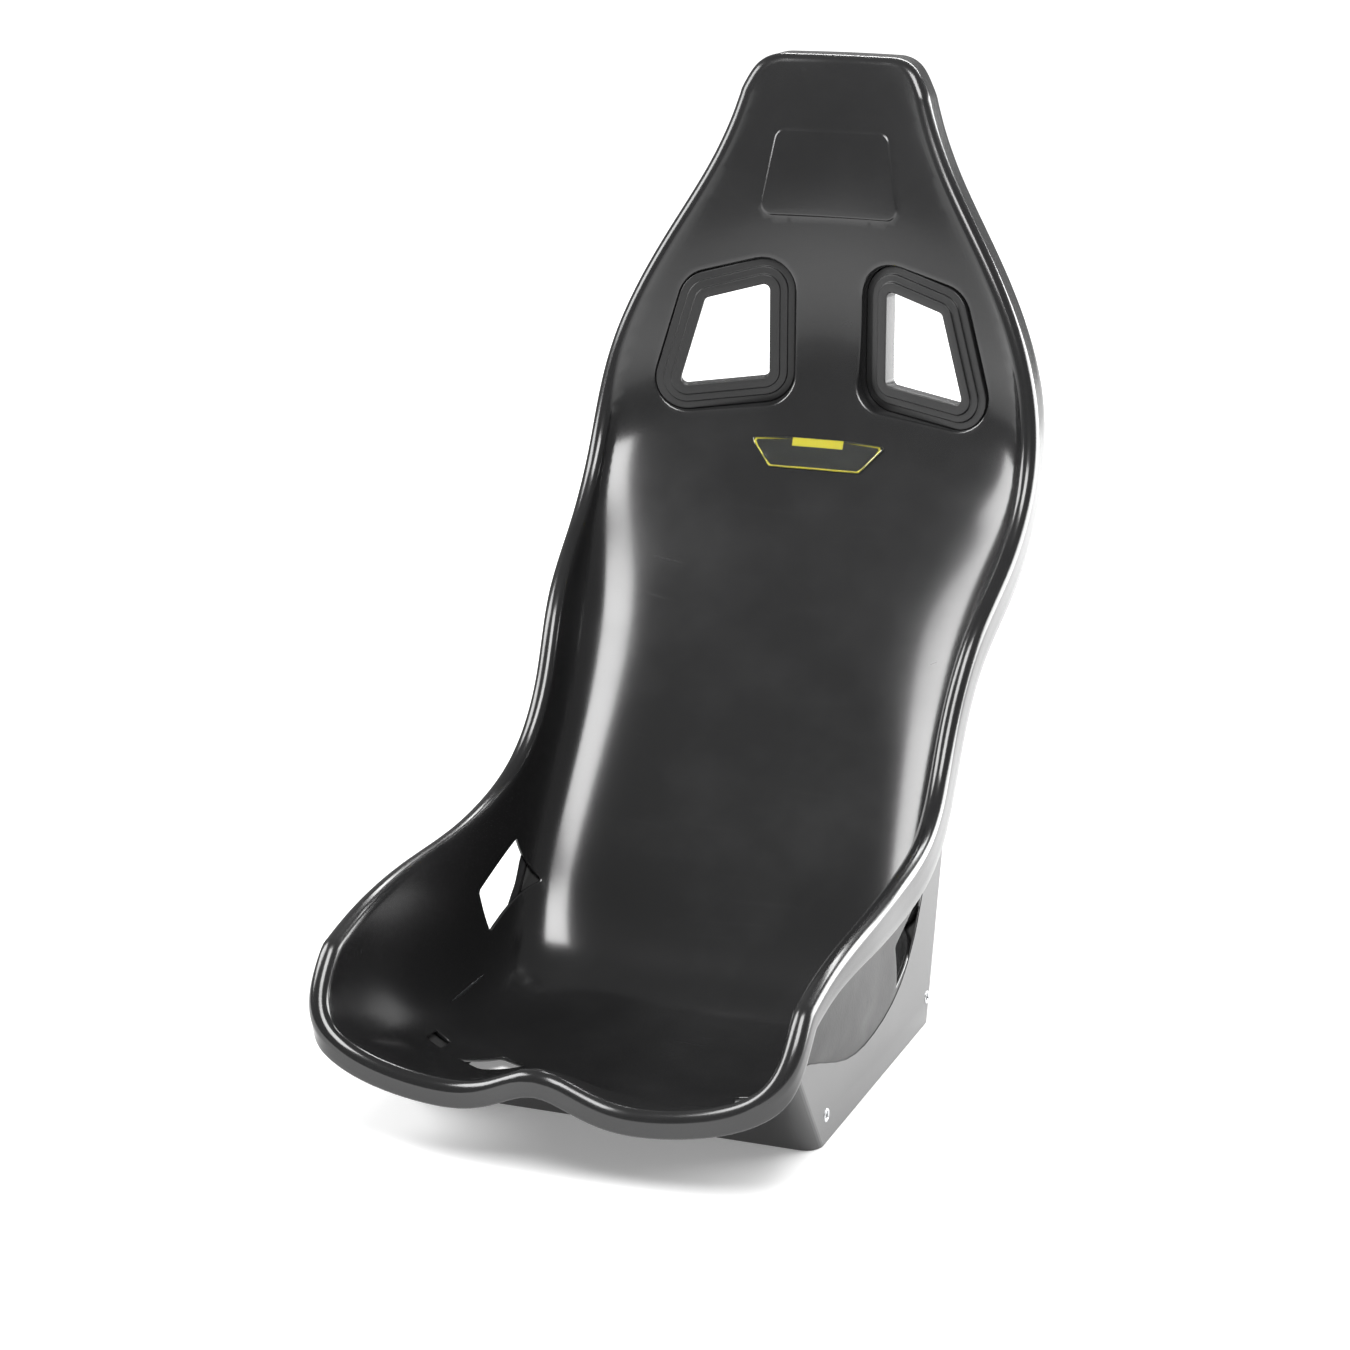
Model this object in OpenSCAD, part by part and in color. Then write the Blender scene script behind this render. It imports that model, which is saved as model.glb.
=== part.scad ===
// Fixed-back racing seat: a one-piece moulded bowl with a rolled rim, bonded to a lower
// moulding whose upright sides carry the threaded bushes for side mounting.
// The seat faces -Y. The floor is Z = 0, and X = 0 is the middle plane.

/* [Seat] */
// Height from the floor to the top of the head
seat_h = 848; // [706:2:1018]
// Reach of the front edge, forward from the middle of the side bolts
pan_reach = 295; // [245:1:354]
// Reach of the top of the back, rearward from the middle of the side bolts
back_reach = 442; // [368:1:530]
// Width between the side walls at the hips
hip_w = 398; // [331:1:478]
// Width between the side walls at the shoulders
shoulder_w = 418; // [348:1:502]
// Width of the head part near its top
head_w = 140; // [116:1:168]

/* [Skin and rim] */
// Thickness of the moulded skin
skin = 4; // [3:0.1:5]
// Outer radius of the rolled rim
roll_r = 9.5; // [8:0.1:11.5]
// Depth of the flange behind the roll, along the sides and the top
flange = 24; // [20:1:29]
// Height of the hump between the thighs at the front edge
hump_h = 27; // [0:1:34]
// Half width of that hump
hump_w = 48; // [38:1:60]

/* [Foot] */
// How far the foot sides stand in from the hip wall's outer face
foot_inset = 5.5; // [3:0.5:9]
// Length of the foot along the floor, ahead of the middle of the side bolts
foot_front = 169; // [164:1:205]
// Length of the foot along the floor, behind the middle of the side bolts
foot_rear = 159; // [157:1:190]
// Distance between the two bolts of one side
bolt_pitch = 290; // [270:1:295]
// Height of the side bolts above the floor
bolt_z = 25; // [20:0.5:30]
// Thickness of the adhesive between the bowl and the base
bond = 1.2; // [0.8:0.1:2]

/* [Mounting plates and bushes] */
// Thickness of each steel plate
plate_t = 5; // [4:0.5:6]
// Height of each steel plate
plate_h = 36; // [30:1:40]
// Outer radius of a threaded bush
bush_r = 6.2; // [5.2:0.1:7.4]
// Core radius of its M8 thread
thread_r = 3.4; // [3.3:0.05:3.5]
// Length of a bush
bush_l = 18; // [15:1:21]
// How far a bush stands proud of the foot side
bush_proud = 0.6; // [0.3:0.1:1]

/* [Belt slots] */
// Width of the plastic frame around a shoulder belt slot
bezel_w = 25; // [21:0.5:30]
// Depth of that frame
bezel_d = 10; // [8:0.5:12]
// Yaw of the frames, outer side forward
bezel_yaw = 16; // [10:1:20]
// Thickness of the rear frame
ring_t = 5; // [4:0.5:6]
// Clearance between the frames and the moulding
fit = 0.4; // [0.3:0.05:0.6]
// Length of a lap belt hole along its long edge
lap_l = 86; // [72:1:103]
// Width of a lap belt hole across its long edge
lap_w = 47; // [39:1:56]

/* [Badge] */
// Width of the badge between its tips
badge_w = 140; // [117:1:168]
// Height of the badge
badge_h = 28; // [24:1:33]
// Thickness of the badge plate
badge_t = 1; // [0.6:0.1:1.5]
// Thickness of the clear dome over it
dome_t = 1.6; // [1:0.1:2.4]

/* [Hidden] */

// ---- Loft of the bowl ----
hip = hip_w / 2;
shoulder = shoulder_w / 2;
head = head_w / 2;
function fore(y) = y * pan_reach / 295;
function aft(y) = y * back_reach / 442;
function up(z) = z * seat_h / 848;

// One row a station, from ahead of the front edge, along the pan and up the back:
// middle line y, z; top of the side wall x, y, z; fullness of the section; share of the flange's depth
stations = [
    [fore(-385), up(110), 1.02 * hip, fore(-380), up(122), 2.6, 0.42],
    [fore(-295), up(72), 1.02 * hip, fore(-289), up(145), 2.8, 0.42],
    [fore(-206), up(33), 1.015 * hip, fore(-203), up(172), 3.2, 0.5],
    [fore(-111), up(4), 1.025 * hip, fore(-97), up(177), 4.2, 0.8],
    [fore(-11), up(4), hip, fore(-9), up(176), 6, 1],
    [aft(94), up(14), hip, aft(75), up(184), 5, 1],
    [aft(145), up(102), 0.975 * hip, aft(140), up(209), 4.1, 1],
    [aft(209), up(197), 0.95 * hip, aft(189), up(272), 3.8, 1],
    [aft(278), up(297), 0.995 * hip, aft(229), up(350), 3.5, 1],
    [aft(352), up(402), 0.99 * shoulder, aft(312), up(395), 2.8, 1],
    [aft(412), up(491), 1.01 * shoulder, aft(377), up(470), 1.8, 1],
    [aft(429), up(580), 0.965 * shoulder, aft(388), up(567), 1.2, 1],
    [aft(424), up(670), 0.765 * shoulder, aft(403), up(657), 1.2, 1],
    [aft(428), up(760), 1.34 * head, aft(422), up(757), 1.3, 1],
    [aft(445), up(853), 0.97 * head, aft(435), up(853), 1.4, 1]];
t_front = 1;
t_top = 13.86;

function unit(a) = a / max(norm(a), 1e-9);
function mix(a, b, s) = a + (b - a) * s;
function ctrl(p, i) = i < 0 ? 2 * p[0] - p[1] : i >= len(p) ? 2 * p[len(p) - 1] - p[len(p) - 2] : p[i];
function spline(p, t) =
    let (i = min(floor(t), len(p) - 2), f = t - i, g = 1 - f)
    (g^3 * ctrl(p, i - 1) + (3 * f^3 - 6 * f^2 + 4) * ctrl(p, i)
    + (3 * g^3 - 6 * g^2 + 4) * ctrl(p, i + 1) + f^3 * ctrl(p, i + 2)) / 6;

// Height of the front hump at station t, x from the middle
function hump(t, x) =
    t > 3 ? 0 : hump_h * exp(-(x / hump_w)^2) * (t < 1 ? 1 : (1 + cos(90 * (t - 1))) / 2);

// Point of the inner face at station t; v runs from -1 to 1 across the seat.
// A slanting section, with fullness under 2, is rounded off where it crosses the middle.
middle_round = 0.2;
function bowl(t, v) =
    let (s = spline(stations, t), n = s[5], a = sin(90 * min(abs(v), 1))^(2 / max(n, 2)),
        c = middle_round * max(2 - n, 0), u = (sqrt(a^2 + c^2) - c) / (sqrt(1 + c^2) - c),
        b = 1 - max(1 - u^n, 0)^(1 / n), x = sign(v) * s[2] * a)
    [x, mix(s[0], s[3], b) - 0.22 * hump(t, x), mix(s[1], s[4], b) + hump(t, x)];

// Unit normal of the inner face, towards the sitter
step_t = 0.02;
step_v = 0.01;
function normal(t, v) =
    let (va = max(v - step_v, -1), vb = min(v + step_v, 1))
    unit(cross(bowl(t, vb) - bowl(t, va), bowl(t + step_t, v) - bowl(t - step_t, v)));

// ---- Edge of the bowl, as [t, v] pairs: front edge, corner, side, corner, top edge ----
front_v = 0.34;
front_t = 0.45;
top_v = 0.5;
top_t = 0.35;
front_n = 8;
corner_n = 6;
side_n = 42;
top_n = 4;
side_a = t_front + front_t;
side_b = t_top - top_t;
half_edge = concat(
    [for (i = [0:front_n - 1]) [t_front, (1 - front_v) * i / front_n]],
    [for (i = [0:corner_n - 1]) let (a = 90 * i / corner_n)
        [t_front + front_t * (1 - cos(a)), 1 - front_v * (1 - sin(a))]],
    [for (i = [0:side_n - 1]) [mix(side_a, side_b, i / side_n), 1]],
    [for (i = [0:corner_n - 1]) let (a = 90 * i / corner_n)
        [side_b + top_t * sin(a), 1 - top_v * (1 - cos(a))]],
    [for (i = [0:top_n]) [t_top, (1 - top_v) * (1 - i / top_n)]]);
half_n = len(half_edge) - 1;
edge_n = 2 * half_n;
edge = concat(half_edge, [for (i = [half_n - 1:-1:1]) [half_edge[i][0], -half_edge[i][1]]]);
function spine_index(j) = j <= half_n ? j : edge_n - j;
function spine(i) =
    [mix(t_front + 0.5 + (half_edge[i][0] - t_front) * (t_top - t_front - 1) / (t_top - t_front),
        mix(t_front + 0.5, t_top - 0.5, i / half_n), 0.3), 0];

// Inner face moved back by d, on ring k of rings, from the spine out to the edge
rings = 10;
function shifted(p, d) = bowl(p[0], p[1]) - d * normal(p[0], p[1]);
function ring(k, d) = [for (j = [0:edge_n - 1]) shifted(mix(spine(spine_index(j)), edge[j], k / rings), d)];
function spine_ring(d) = [for (i = [0:half_n]) shifted(spine(i), d)];

// At edge point j: [edge point, flange way, outward, angle at which the face arrives, flange depth].
// The flange stands square to the edge: downward at the front, rearward at the top, and in
// the plane of the side view between them.
edge_pts = [for (p = edge) bowl(p[0], p[1])];
function frame_at(j) =
    let (p = edge_pts[j], t = edge[j][0],
        along = unit(edge_pts[(j + 1) % edge_n] - edge_pts[(j + edge_n - 1) % edge_n]),
        way = t < 7 ? [0, 0, -1] : [0, 1, 0], square_on = unit(way - (way * along) * along),
        side_on = sign(edge[j][1]) * unit(cross(along, [1, 0, 0])),
        down = unit(mix(side_on, square_on, abs(along[0]))), out = cross(down, along),
        near = mix(spine(spine_index(j)), edge[j], 0.94), g = p - bowl(near[0], near[1]))
    [p, down, out, atan2(g * out, -(g * down)), flange * spline(stations, t)[6]];
frames = [for (j = [0:edge_n - 1]) frame_at(j)];

// Point of the roll at turn s from 0 to 1, d inside the outer face, share w of the way down the flange
function roll_pt(f, s, d, w = 0) =
    let (q = mix(f[3], 180, s), mid = f[0] + roll_r * (sin(f[3]) * f[1] + cos(f[3]) * f[2]))
    mid + (roll_r - d) * (-sin(q) * f[1] - cos(q) * f[2]) + w * f[4] * f[1];
function roll_ring(s, d, w = 0) = [for (f = frames) roll_pt(f, s, d, w)];

// The seat is drawn from the middle of the side bolts, then moved so that its middle is at Y = 0
reach_y = [for (f = frames) each
    [for (q = [[0, 0], [0.25, 0], [0.5, 0], [0.75, 0], [1, 0], [1, 1]]) roll_pt(f, q[0], 0, q[1])[1]]];
middle_y = (max(reach_y) + min(reach_y)) / 2;

function flat(a) = [for (b = a) each b];
function quad(a, b, c, d) = [[a, b, c], [a, c, d]];
// Faces between stacked rings of edge_n points, the first ring starting at point base
function band(base, count) = [for (k = [0:count - 2], j = [0:edge_n - 1])
    let (a = base + k * edge_n, i = (j + 1) % edge_n)
    each quad(a + j, a + i, a + edge_n + i, a + edge_n + j)];
// Faces between the spine's points and a ring; back turns them round
function fan(spine_at, ring_at, back) = [for (j = [0:edge_n - 1])
    let (i = (j + 1) % edge_n,
         q = quad(spine_at + spine_index(j), spine_at + spine_index(i), ring_at + i, ring_at + j))
    each [for (f = q) back ? [f[2], f[1], f[0]] : f]];

roll_steps = 5;
inner_steps = 3;
// The bowl's skin with its rolled rim and flange
module shell() {
    stack = concat([for (k = [1:rings]) ring(k, 0)],
        [for (i = [1:roll_steps]) roll_ring(i / roll_steps, 0)],
        [roll_ring(1, 0, 1), roll_ring(1, skin, 1)],
        [for (i = [inner_steps:-1:0]) roll_ring(i / inner_steps, skin)],
        [for (k = [rings - 1:-1:1]) ring(k, skin)]);
    n = len(stack);
    polyhedron(concat(flat(stack), spine_ring(0), spine_ring(skin)),
        concat(band(0, n), fan(n * edge_n, 0, false),
            fan(n * edge_n + half_n + 1, (n - 1) * edge_n, true)));
}

// Everything in front of the inner face, from d behind it to a lid across the rim
module fill_to(d) {
    stack = [for (k = [1:rings]) ring(k, d)];
    last = (rings - 1) * edge_n;
    wall = [for (f = band(0, rings)) [f[2], f[1], f[0]]];
    polyhedron(concat(flat(stack), spine_ring(d)),
        concat(wall, fan(rings * edge_n, 0, true),
            [for (j = [0:half_n - 1]) let (a = (edge_n - j) % edge_n, b = edge_n - j - 1)
                each j == 0 ? [[last + 1, last, last + b]]
                    : j == half_n - 1 ? [[last + j + 1, last + j, last + a]]
                    : quad(last + j + 1, last + j, last + a, last + b)]));
}

// Marks a part whose walls follow the bowl: it is worked out as one mesh
module meshed() { resize([0, 0, 0]) children(); }
module place() { translate([0, -middle_y, 0]) children(); }
// Both sides, or one: side is -1 for left and 1 for right
module on_side(side) { if (side > 0) children(); else mirror([1, 0, 0]) children(); }

// ---- Belt slots ----
slot_at = [0.449 * shoulder, aft(412.5), up(576)];
slot_corners = [[-36, 53], [27, 37], [53, -50], [-36, -40]];
corner_r = 6;
// Drives a flat outline in x, z into the seat, from depth d0 to d1
module sunk(d0, d1) { rotate([90, 0, 0]) translate([0, 0, -d1]) linear_extrude(d1 - d0) children(); }
module slot_place(side) { on_side(side) translate(slot_at) rotate([0, 0, -bezel_yaw]) children(); }
module slot_outline(grow) {
    offset(r = corner_r + grow, $fn = 32) offset(delta = -corner_r) polygon(slot_corners);
}
pocket_z = bezel_d + fit;

// Lap belt hole: a lozenge through each side wall
lap_at = [aft(75), up(108)];
lap_a = 17.6;
lap_b = -70;
lap_long = lap_l / 2 * [cos(lap_a), sin(lap_a)];
lap_wide = lap_w / 2 * [cos(lap_b), sin(lap_b)];
module lap_cut(side) {
    on_side(side) translate([hip - 40, lap_at[0], lap_at[1]]) rotate([90, 0, 90]) linear_extrude(80)
        offset(r = 3, $fn = 16) offset(delta = -3) polygon(
            [lap_long + lap_wide, lap_long - lap_wide, -lap_long - lap_wide, lap_wide - lap_long]);
}

// Leg strap slots and drain holes through the pan
strap_at = [0.563 * hip, fore(-98)];
strap_w = 26;
strap_l = 60;
strap_turn = 18;
drain_at = [0.837 * hip, fore(-138)];
drain_w = 12;
drain_l = 34;
drain_turn = 9;
module pan_cuts() {
    for (s = [-1, 1]) on_side(s) translate([0, 0, -10]) linear_extrude(80) {
        translate(strap_at) rotate(-strap_turn)
            translate([-strap_w / 2, -strap_l]) rounded_box(strap_w, strap_l, 4);
        translate(drain_at) rotate(-drain_turn)
            translate([-drain_w / 2, -drain_l / 2]) rounded_box(drain_w, drain_l, 3);
    }
}
module rounded_box(w, l, r) { offset(r = r, $fn = 16) offset(delta = -r) square([w, l]); }

// Shallow raised panel on the head
panel_step = 1;
module head_panel() {
    z0 = up(696);
    z1 = up(777);
    intersection() {
        translate([0, aft(500), 0]) rotate([90, 0, 0]) linear_extrude(aft(200))
            offset(r = 10, $fn = 24) offset(delta = -10)
                polygon([[-head, z0], [head, z0], [0.79 * head, z1], [-0.79 * head, z1]]);
        difference() {
            fill_to(0.5);
            fill_to(-panel_step);
        }
    }
}

module seat_moulding() {
    color("#0b0b0c") meshed() place() difference() {
        union() {
            shell();
            head_panel();
            difference() {
                for (s = [-1, 1]) slot_place(s) sunk(2, pocket_z + skin) slot_outline(bezel_w + fit + skin);
                fill_to(0.1);
            }
        }
        for (s = [-1, 1]) {
            slot_place(s) sunk(-60, pocket_z) slot_outline(bezel_w + fit);
            slot_place(s) sunk(-60, 60) slot_outline(fit + 2);
            lap_cut(s);
        }
        pan_cuts();
    }
}

// ---- Foot ----
wall_x = hip + skin - foot_inset;
foot_r = 16;
front_lean = 60 / 83;
rear_lean = 47 / 182;
foot_top = up(182);
ear_top = up(300);
ear_lean = 30 / 118;
// Upright body of the foot, shrunk by d all round, from z = low
module foot_body(d, low = 0) {
    module slab(z, y0, y1) translate([0, (y0 + y1) / 2, z]) linear_extrude(0.01)
        offset(r = foot_r, $fn = 32)
        square([2 * (wall_x - d - foot_r), y1 - y0 - 2 * d - 2 * foot_r], center = true);
    hull() {
        slab(low, -foot_front - front_lean * low, foot_rear + rear_lean * low);
        slab(foot_top, -foot_front - front_lean * foot_top, foot_rear + rear_lean * foot_top);
    }
    hull() {
        slab(foot_top, -foot_front, foot_rear + rear_lean * foot_top);
        slab(ear_top, -foot_front, foot_rear + rear_lean * foot_top + ear_lean * (ear_top - foot_top));
    }
}
// Side view of the foot: its top line runs inside the bowl, then up under the flange
foot_side = [[fore(-330), -20], [fore(-330), up(100)], [fore(-250), up(116)], [fore(-180), up(140)],
    [0, up(155)], [aft(60), up(168)], [aft(105), up(184)], [aft(143), up(208)], [aft(172), up(236)],
    [aft(200), up(266)], [aft(214), up(288)], [aft(236), up(302)], [aft(330), up(302)], [aft(330), -20]];
module foot_view() { rotate([90, 0, 90]) linear_extrude(2 * hip_w, center = true) polygon(foot_side); }
module bush_line(side, y, r, l, fn) {
    on_side(side) translate([wall_x + 2 - l, y, bolt_z]) rotate([0, 90, 0])
        cylinder(r = r, h = l, $fn = fn);
}
bolt_ys = [-bolt_pitch / 2, bolt_pitch / 2];

module base_moulding() {
    color("#0d0d0e") meshed() place() difference() {
        intersection() {
            foot_body(0);
            foot_view();
        }
        foot_body(skin, -1);
        fill_to(skin + bond);
        for (s = [-1, 1], y = bolt_ys) bush_line(s, y, bush_r + 0.2, 12, 48);
    }
}

module bond_line() {
    color("#3a3a34") meshed() place() intersection() {
        difference() {
            foot_body(0.6);
            foot_body(skin - 0.3, -1);
        }
        foot_view();
        difference() {
            fill_to(skin + bond - 0.05);
            fill_to(skin + 0.05);
        }
    }
}

// ---- Foot cores, plates and bushes ----
plate_gap = 0.1;
plate_x = wall_x - skin - plate_gap;
plate_y = [-bolt_pitch / 2 - 16, bolt_pitch / 2 + bush_r + 1.2];
core_in = 46;
module foot_core(side) {
    color("#c9b48a") meshed() place() difference() {
        intersection() {
            foot_body(skin + 0.3);
            foot_view();
            on_side(side) translate([wall_x - core_in, -foot_front - 40, 5])
                cube([core_in, foot_front + foot_rear + 60, up(150)]);
        }
        fill_to(skin + bond + 0.3);
        on_side(side) translate([plate_x - plate_t - 0.2, plate_y[0] - 1, 0])
            cube([plate_t + 10, plate_y[1] - plate_y[0] + 2, bolt_z + plate_h / 2 + 0.3]);
        for (y = bolt_ys) bush_line(side, y, bush_r + 0.5, bush_l + 8, 48);
    }
}

module mount_plate(side) {
    color("#a8adb2") place() on_side(side) difference() {
        translate([plate_x - plate_t, plate_y[0], bolt_z - plate_h / 2])
            cube([plate_t, plate_y[1] - plate_y[0], plate_h]);
        for (y = bolt_ys) translate([plate_x - plate_t - 1, y, bolt_z]) rotate([0, 90, 0])
            cylinder(r = bush_r + 0.05, h = plate_t + 2, $fn = 64);
    }
}

module bush(side, y) {
    color("#d7d9dc") place() on_side(side)
        translate([wall_x + bush_proud - bush_l, y, bolt_z]) rotate([0, 90, 0])
        difference() {
            cylinder(r = bush_r, h = bush_l, $fn = 64);
            translate([0, 0, -1]) cylinder(r = thread_r, h = bush_l + 2, $fn = 64);
        }
}

// ---- Belt slot frames ----
ridges = 3;
module slot_bezel(side) {
    color("#18191b") place() slot_place(side) difference() {
        union() {
            for (i = [0:ridges - 1]) sunk(i * 2.4, bezel_d)
                slot_outline(bezel_w - (ridges - 1 - i) * 7.5);
            sunk(bezel_d - 1, pocket_z + skin + fit) slot_outline(1.5);
        }
        sunk(-1, 60) slot_outline(0);
        for (p = screw_ps)
            translate([p[0], bezel_d - 5, p[1]]) rotate([-90, 0, 0]) cylinder(r = 1.25, h = 10, $fn = 24);
    }
}
back_z = pocket_z + skin + fit;
module slot_ring(side) {
    color("#141416") place() slot_place(side) difference() {
        sunk(back_z, back_z + ring_t) slot_outline(bezel_w - 4);
        sunk(0, 60) slot_outline(0);
        for (p = screw_ps)
            translate([p[0], back_z - 1, p[1]]) rotate([-90, 0, 0]) cylinder(r = 2, h = ring_t + 2, $fn = 24);
    }
}
// Screw places around the slot, half way across the frame
screw_out = bezel_w * 0.42;
screw_ps = [[-36 - screw_out, 5], [-6, 46 + screw_out], [41 + screw_out, -4], [6, -45 - screw_out]];
screw_head_r = 3.2;
module bezel_screws(side) {
    color("#2a2b2d") place() slot_place(side) for (p = screw_ps)
        translate([p[0], bezel_d - 4, p[1]]) rotate([-90, 0, 0]) {
            cylinder(r = 1.2, h = back_z + ring_t + 0.1 - bezel_d + 4, $fn = 24);
            translate([0, 0, back_z + ring_t + 0.05 - bezel_d + 4])
                cylinder(r = screw_head_r, h = 1.8, $fn = 32);
        }
}

// ---- Badge ----
badge_z = up(469);
module badge_outline(grow) {
    w = badge_w / 2;
    h = badge_h;
    offset(delta = grow) polygon([[-w, 0.42 * h], [-0.41 * w, 0.5 * h], [0.41 * w, 0.5 * h], [w, 0.42 * h],
        [0.66 * w, -0.5 * h], [-0.66 * w, -0.5 * h]]);
}
module badge_layer(grow, back, front) {
    meshed() place() intersection() {
        translate([0, aft(500), badge_z]) rotate([90, 0, 0]) linear_extrude(aft(200)) badge_outline(grow);
        difference() {
            fill_to(-back);
            fill_to(-front);
        }
    }
}
module badge_plate() { color("#1b1c12") badge_layer(0, 0.1, 0.1 + badge_t); }
module badge_dome() { color("#3c3d38") badge_layer(-0.6, 0.15 + badge_t, 0.15 + badge_t + dome_t); }

seat_moulding();
base_moulding();
bond_line();
foot_core(-1);  // foot_core_left
foot_core(1);  // foot_core_right
mount_plate(-1);  // mount_plate_left
mount_plate(1);  // mount_plate_right
bush(-1, bolt_ys[0]);  // bush_left_front
bush(-1, bolt_ys[1]);  // bush_left_rear
bush(1, bolt_ys[0]);  // bush_right_front
bush(1, bolt_ys[1]);  // bush_right_rear
slot_bezel(-1);  // slot_bezel_left
slot_bezel(1);  // slot_bezel_right
slot_ring(-1);  // slot_ring_left
slot_ring(1);  // slot_ring_right
bezel_screws(-1);  // bezel_screws_left
bezel_screws(1);  // bezel_screws_right
badge_plate();
badge_dome();
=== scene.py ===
# %% [markdown]
# A fixed-back racing seat
#
# The real seat is one glass fibre skin, laid up in a glossy black mould, with its edge rolled over
# and turned back into a flange. A second moulding glued underneath gives it a square foot with
# bushes for the side bolts. Here the skin, the foot, the belt slot frames, the badge and the small
# hardware are each made as their own piece, in metres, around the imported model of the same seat.

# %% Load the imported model
import math

import bmesh
import bpy
import numpy as np
from mathutils import Matrix, Vector, kdtree
from mathutils.geometry import delaunay_2d_cdt


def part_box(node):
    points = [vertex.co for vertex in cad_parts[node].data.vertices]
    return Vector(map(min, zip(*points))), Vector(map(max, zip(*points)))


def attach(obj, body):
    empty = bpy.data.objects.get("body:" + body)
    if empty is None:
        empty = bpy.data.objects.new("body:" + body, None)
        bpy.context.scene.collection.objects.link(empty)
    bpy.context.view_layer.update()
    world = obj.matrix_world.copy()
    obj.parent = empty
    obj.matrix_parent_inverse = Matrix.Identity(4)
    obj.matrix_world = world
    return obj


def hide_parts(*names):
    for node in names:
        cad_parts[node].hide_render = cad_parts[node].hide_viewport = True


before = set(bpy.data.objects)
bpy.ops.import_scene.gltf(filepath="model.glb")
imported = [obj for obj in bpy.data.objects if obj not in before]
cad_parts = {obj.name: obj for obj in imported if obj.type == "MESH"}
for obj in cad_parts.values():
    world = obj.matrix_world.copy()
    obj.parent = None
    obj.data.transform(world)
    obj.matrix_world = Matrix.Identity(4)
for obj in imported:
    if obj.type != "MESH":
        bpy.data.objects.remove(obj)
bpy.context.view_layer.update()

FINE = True

# %% [markdown]
# Where the seat stands
#
# Seats of this kind are measured from their side bolts, so every size below starts from the middle
# of the two bolts of one side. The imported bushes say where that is.

# %% Take the datum from the bushes
MM = 0.001


def middle_of(node):
    low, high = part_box(node)
    return (np.array(low) + np.array(high)) / 2


bolt_front = middle_of("bush_right_front")
bolt_rear = middle_of("bush_right_rear")
datum_y = (bolt_front[1] + bolt_rear[1]) / 2
print("bolts apart, mm:", round((bolt_rear[1] - bolt_front[1]) * 1000, 1), " datum y:", round(datum_y, 4))

# %% [markdown]
# The rule of the bowl
#
# A mould maker would carve the bowl to a row of templates. Each row below is one such template: where
# its middle is, where the top of its side wall is, and how full its curve is. A cubic spline runs
# through the rows, so the whole bowl is one smooth surface with two directions: t from the front edge
# along the pan and up the back, and v from -1 on the sitter's one side to 1 on the other.

# %% The templates
HIP = 199
SHOULDER = 209
HEAD = 70
# middle y, z; wall top x, y, z; fullness; share of the flange's depth
TEMPLATES = np.array([
    [-385, 110, 1.02 * HIP, -380, 122, 2.6, 0.42],
    [-295, 72, 1.02 * HIP, -289, 145, 2.8, 0.42],
    [-206, 33, 1.015 * HIP, -203, 172, 3.2, 0.5],
    [-111, 4, 1.025 * HIP, -97, 177, 4.2, 0.8],
    [-11, 4, HIP, -9, 176, 6, 1],
    [94, 14, HIP, 75, 184, 5, 1],
    [145, 102, 0.975 * HIP, 140, 209, 4.1, 1],
    [209, 197, 0.95 * HIP, 189, 272, 3.8, 1],
    [278, 297, 0.995 * HIP, 229, 350, 3.5, 1],
    [352, 402, 0.99 * SHOULDER, 312, 395, 2.8, 1],
    [412, 491, 1.01 * SHOULDER, 377, 470, 1.8, 1],
    [429, 580, 0.965 * SHOULDER, 388, 567, 1.2, 1],
    [424, 670, 0.765 * SHOULDER, 403, 657, 1.2, 1],
    [428, 760, 1.34 * HEAD, 422, 757, 1.3, 1],
    [445, 853, 0.97 * HEAD, 435, 853, 1.4, 1]])
T_FRONT = 1.0
T_TOP = 13.86
HUMP_H = 27
HUMP_W = 48
HUMP_FORWARD = 0.22
MIDDLE_ROUND = 0.2
first = 2 * TEMPLATES[0] - TEMPLATES[1]
last = 2 * TEMPLATES[-1] - TEMPLATES[-2]
KNOTS = np.vstack([first, TEMPLATES, last])


def template_at(t):
    """The template at each station t, by a uniform cubic spline."""
    t = np.atleast_1d(np.asarray(t, float))
    i = np.clip(np.floor(t).astype(int), 0, len(TEMPLATES) - 2)
    f = (t - i)[:, None]
    g = 1 - f
    weights = (g**3, 3 * f**3 - 6 * f**2 + 4, 3 * g**3 - 6 * g**2 + 4, f**3)
    return sum(w * KNOTS[i + k] for k, w in enumerate(weights)) / 6


print("templates:", len(TEMPLATES), "from z", TEMPLATES[:, 1].min(), "to", TEMPLATES[:, 1].max(), "mm")

# %% [markdown]
# A point on the bowl
#
# Across the seat each template is a rounded curve: flat over the middle and turning up into the side
# wall. The fullness says how square the turn is. A hump between the thighs is added at the front edge.

# %% Points and directions on the inner face


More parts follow.
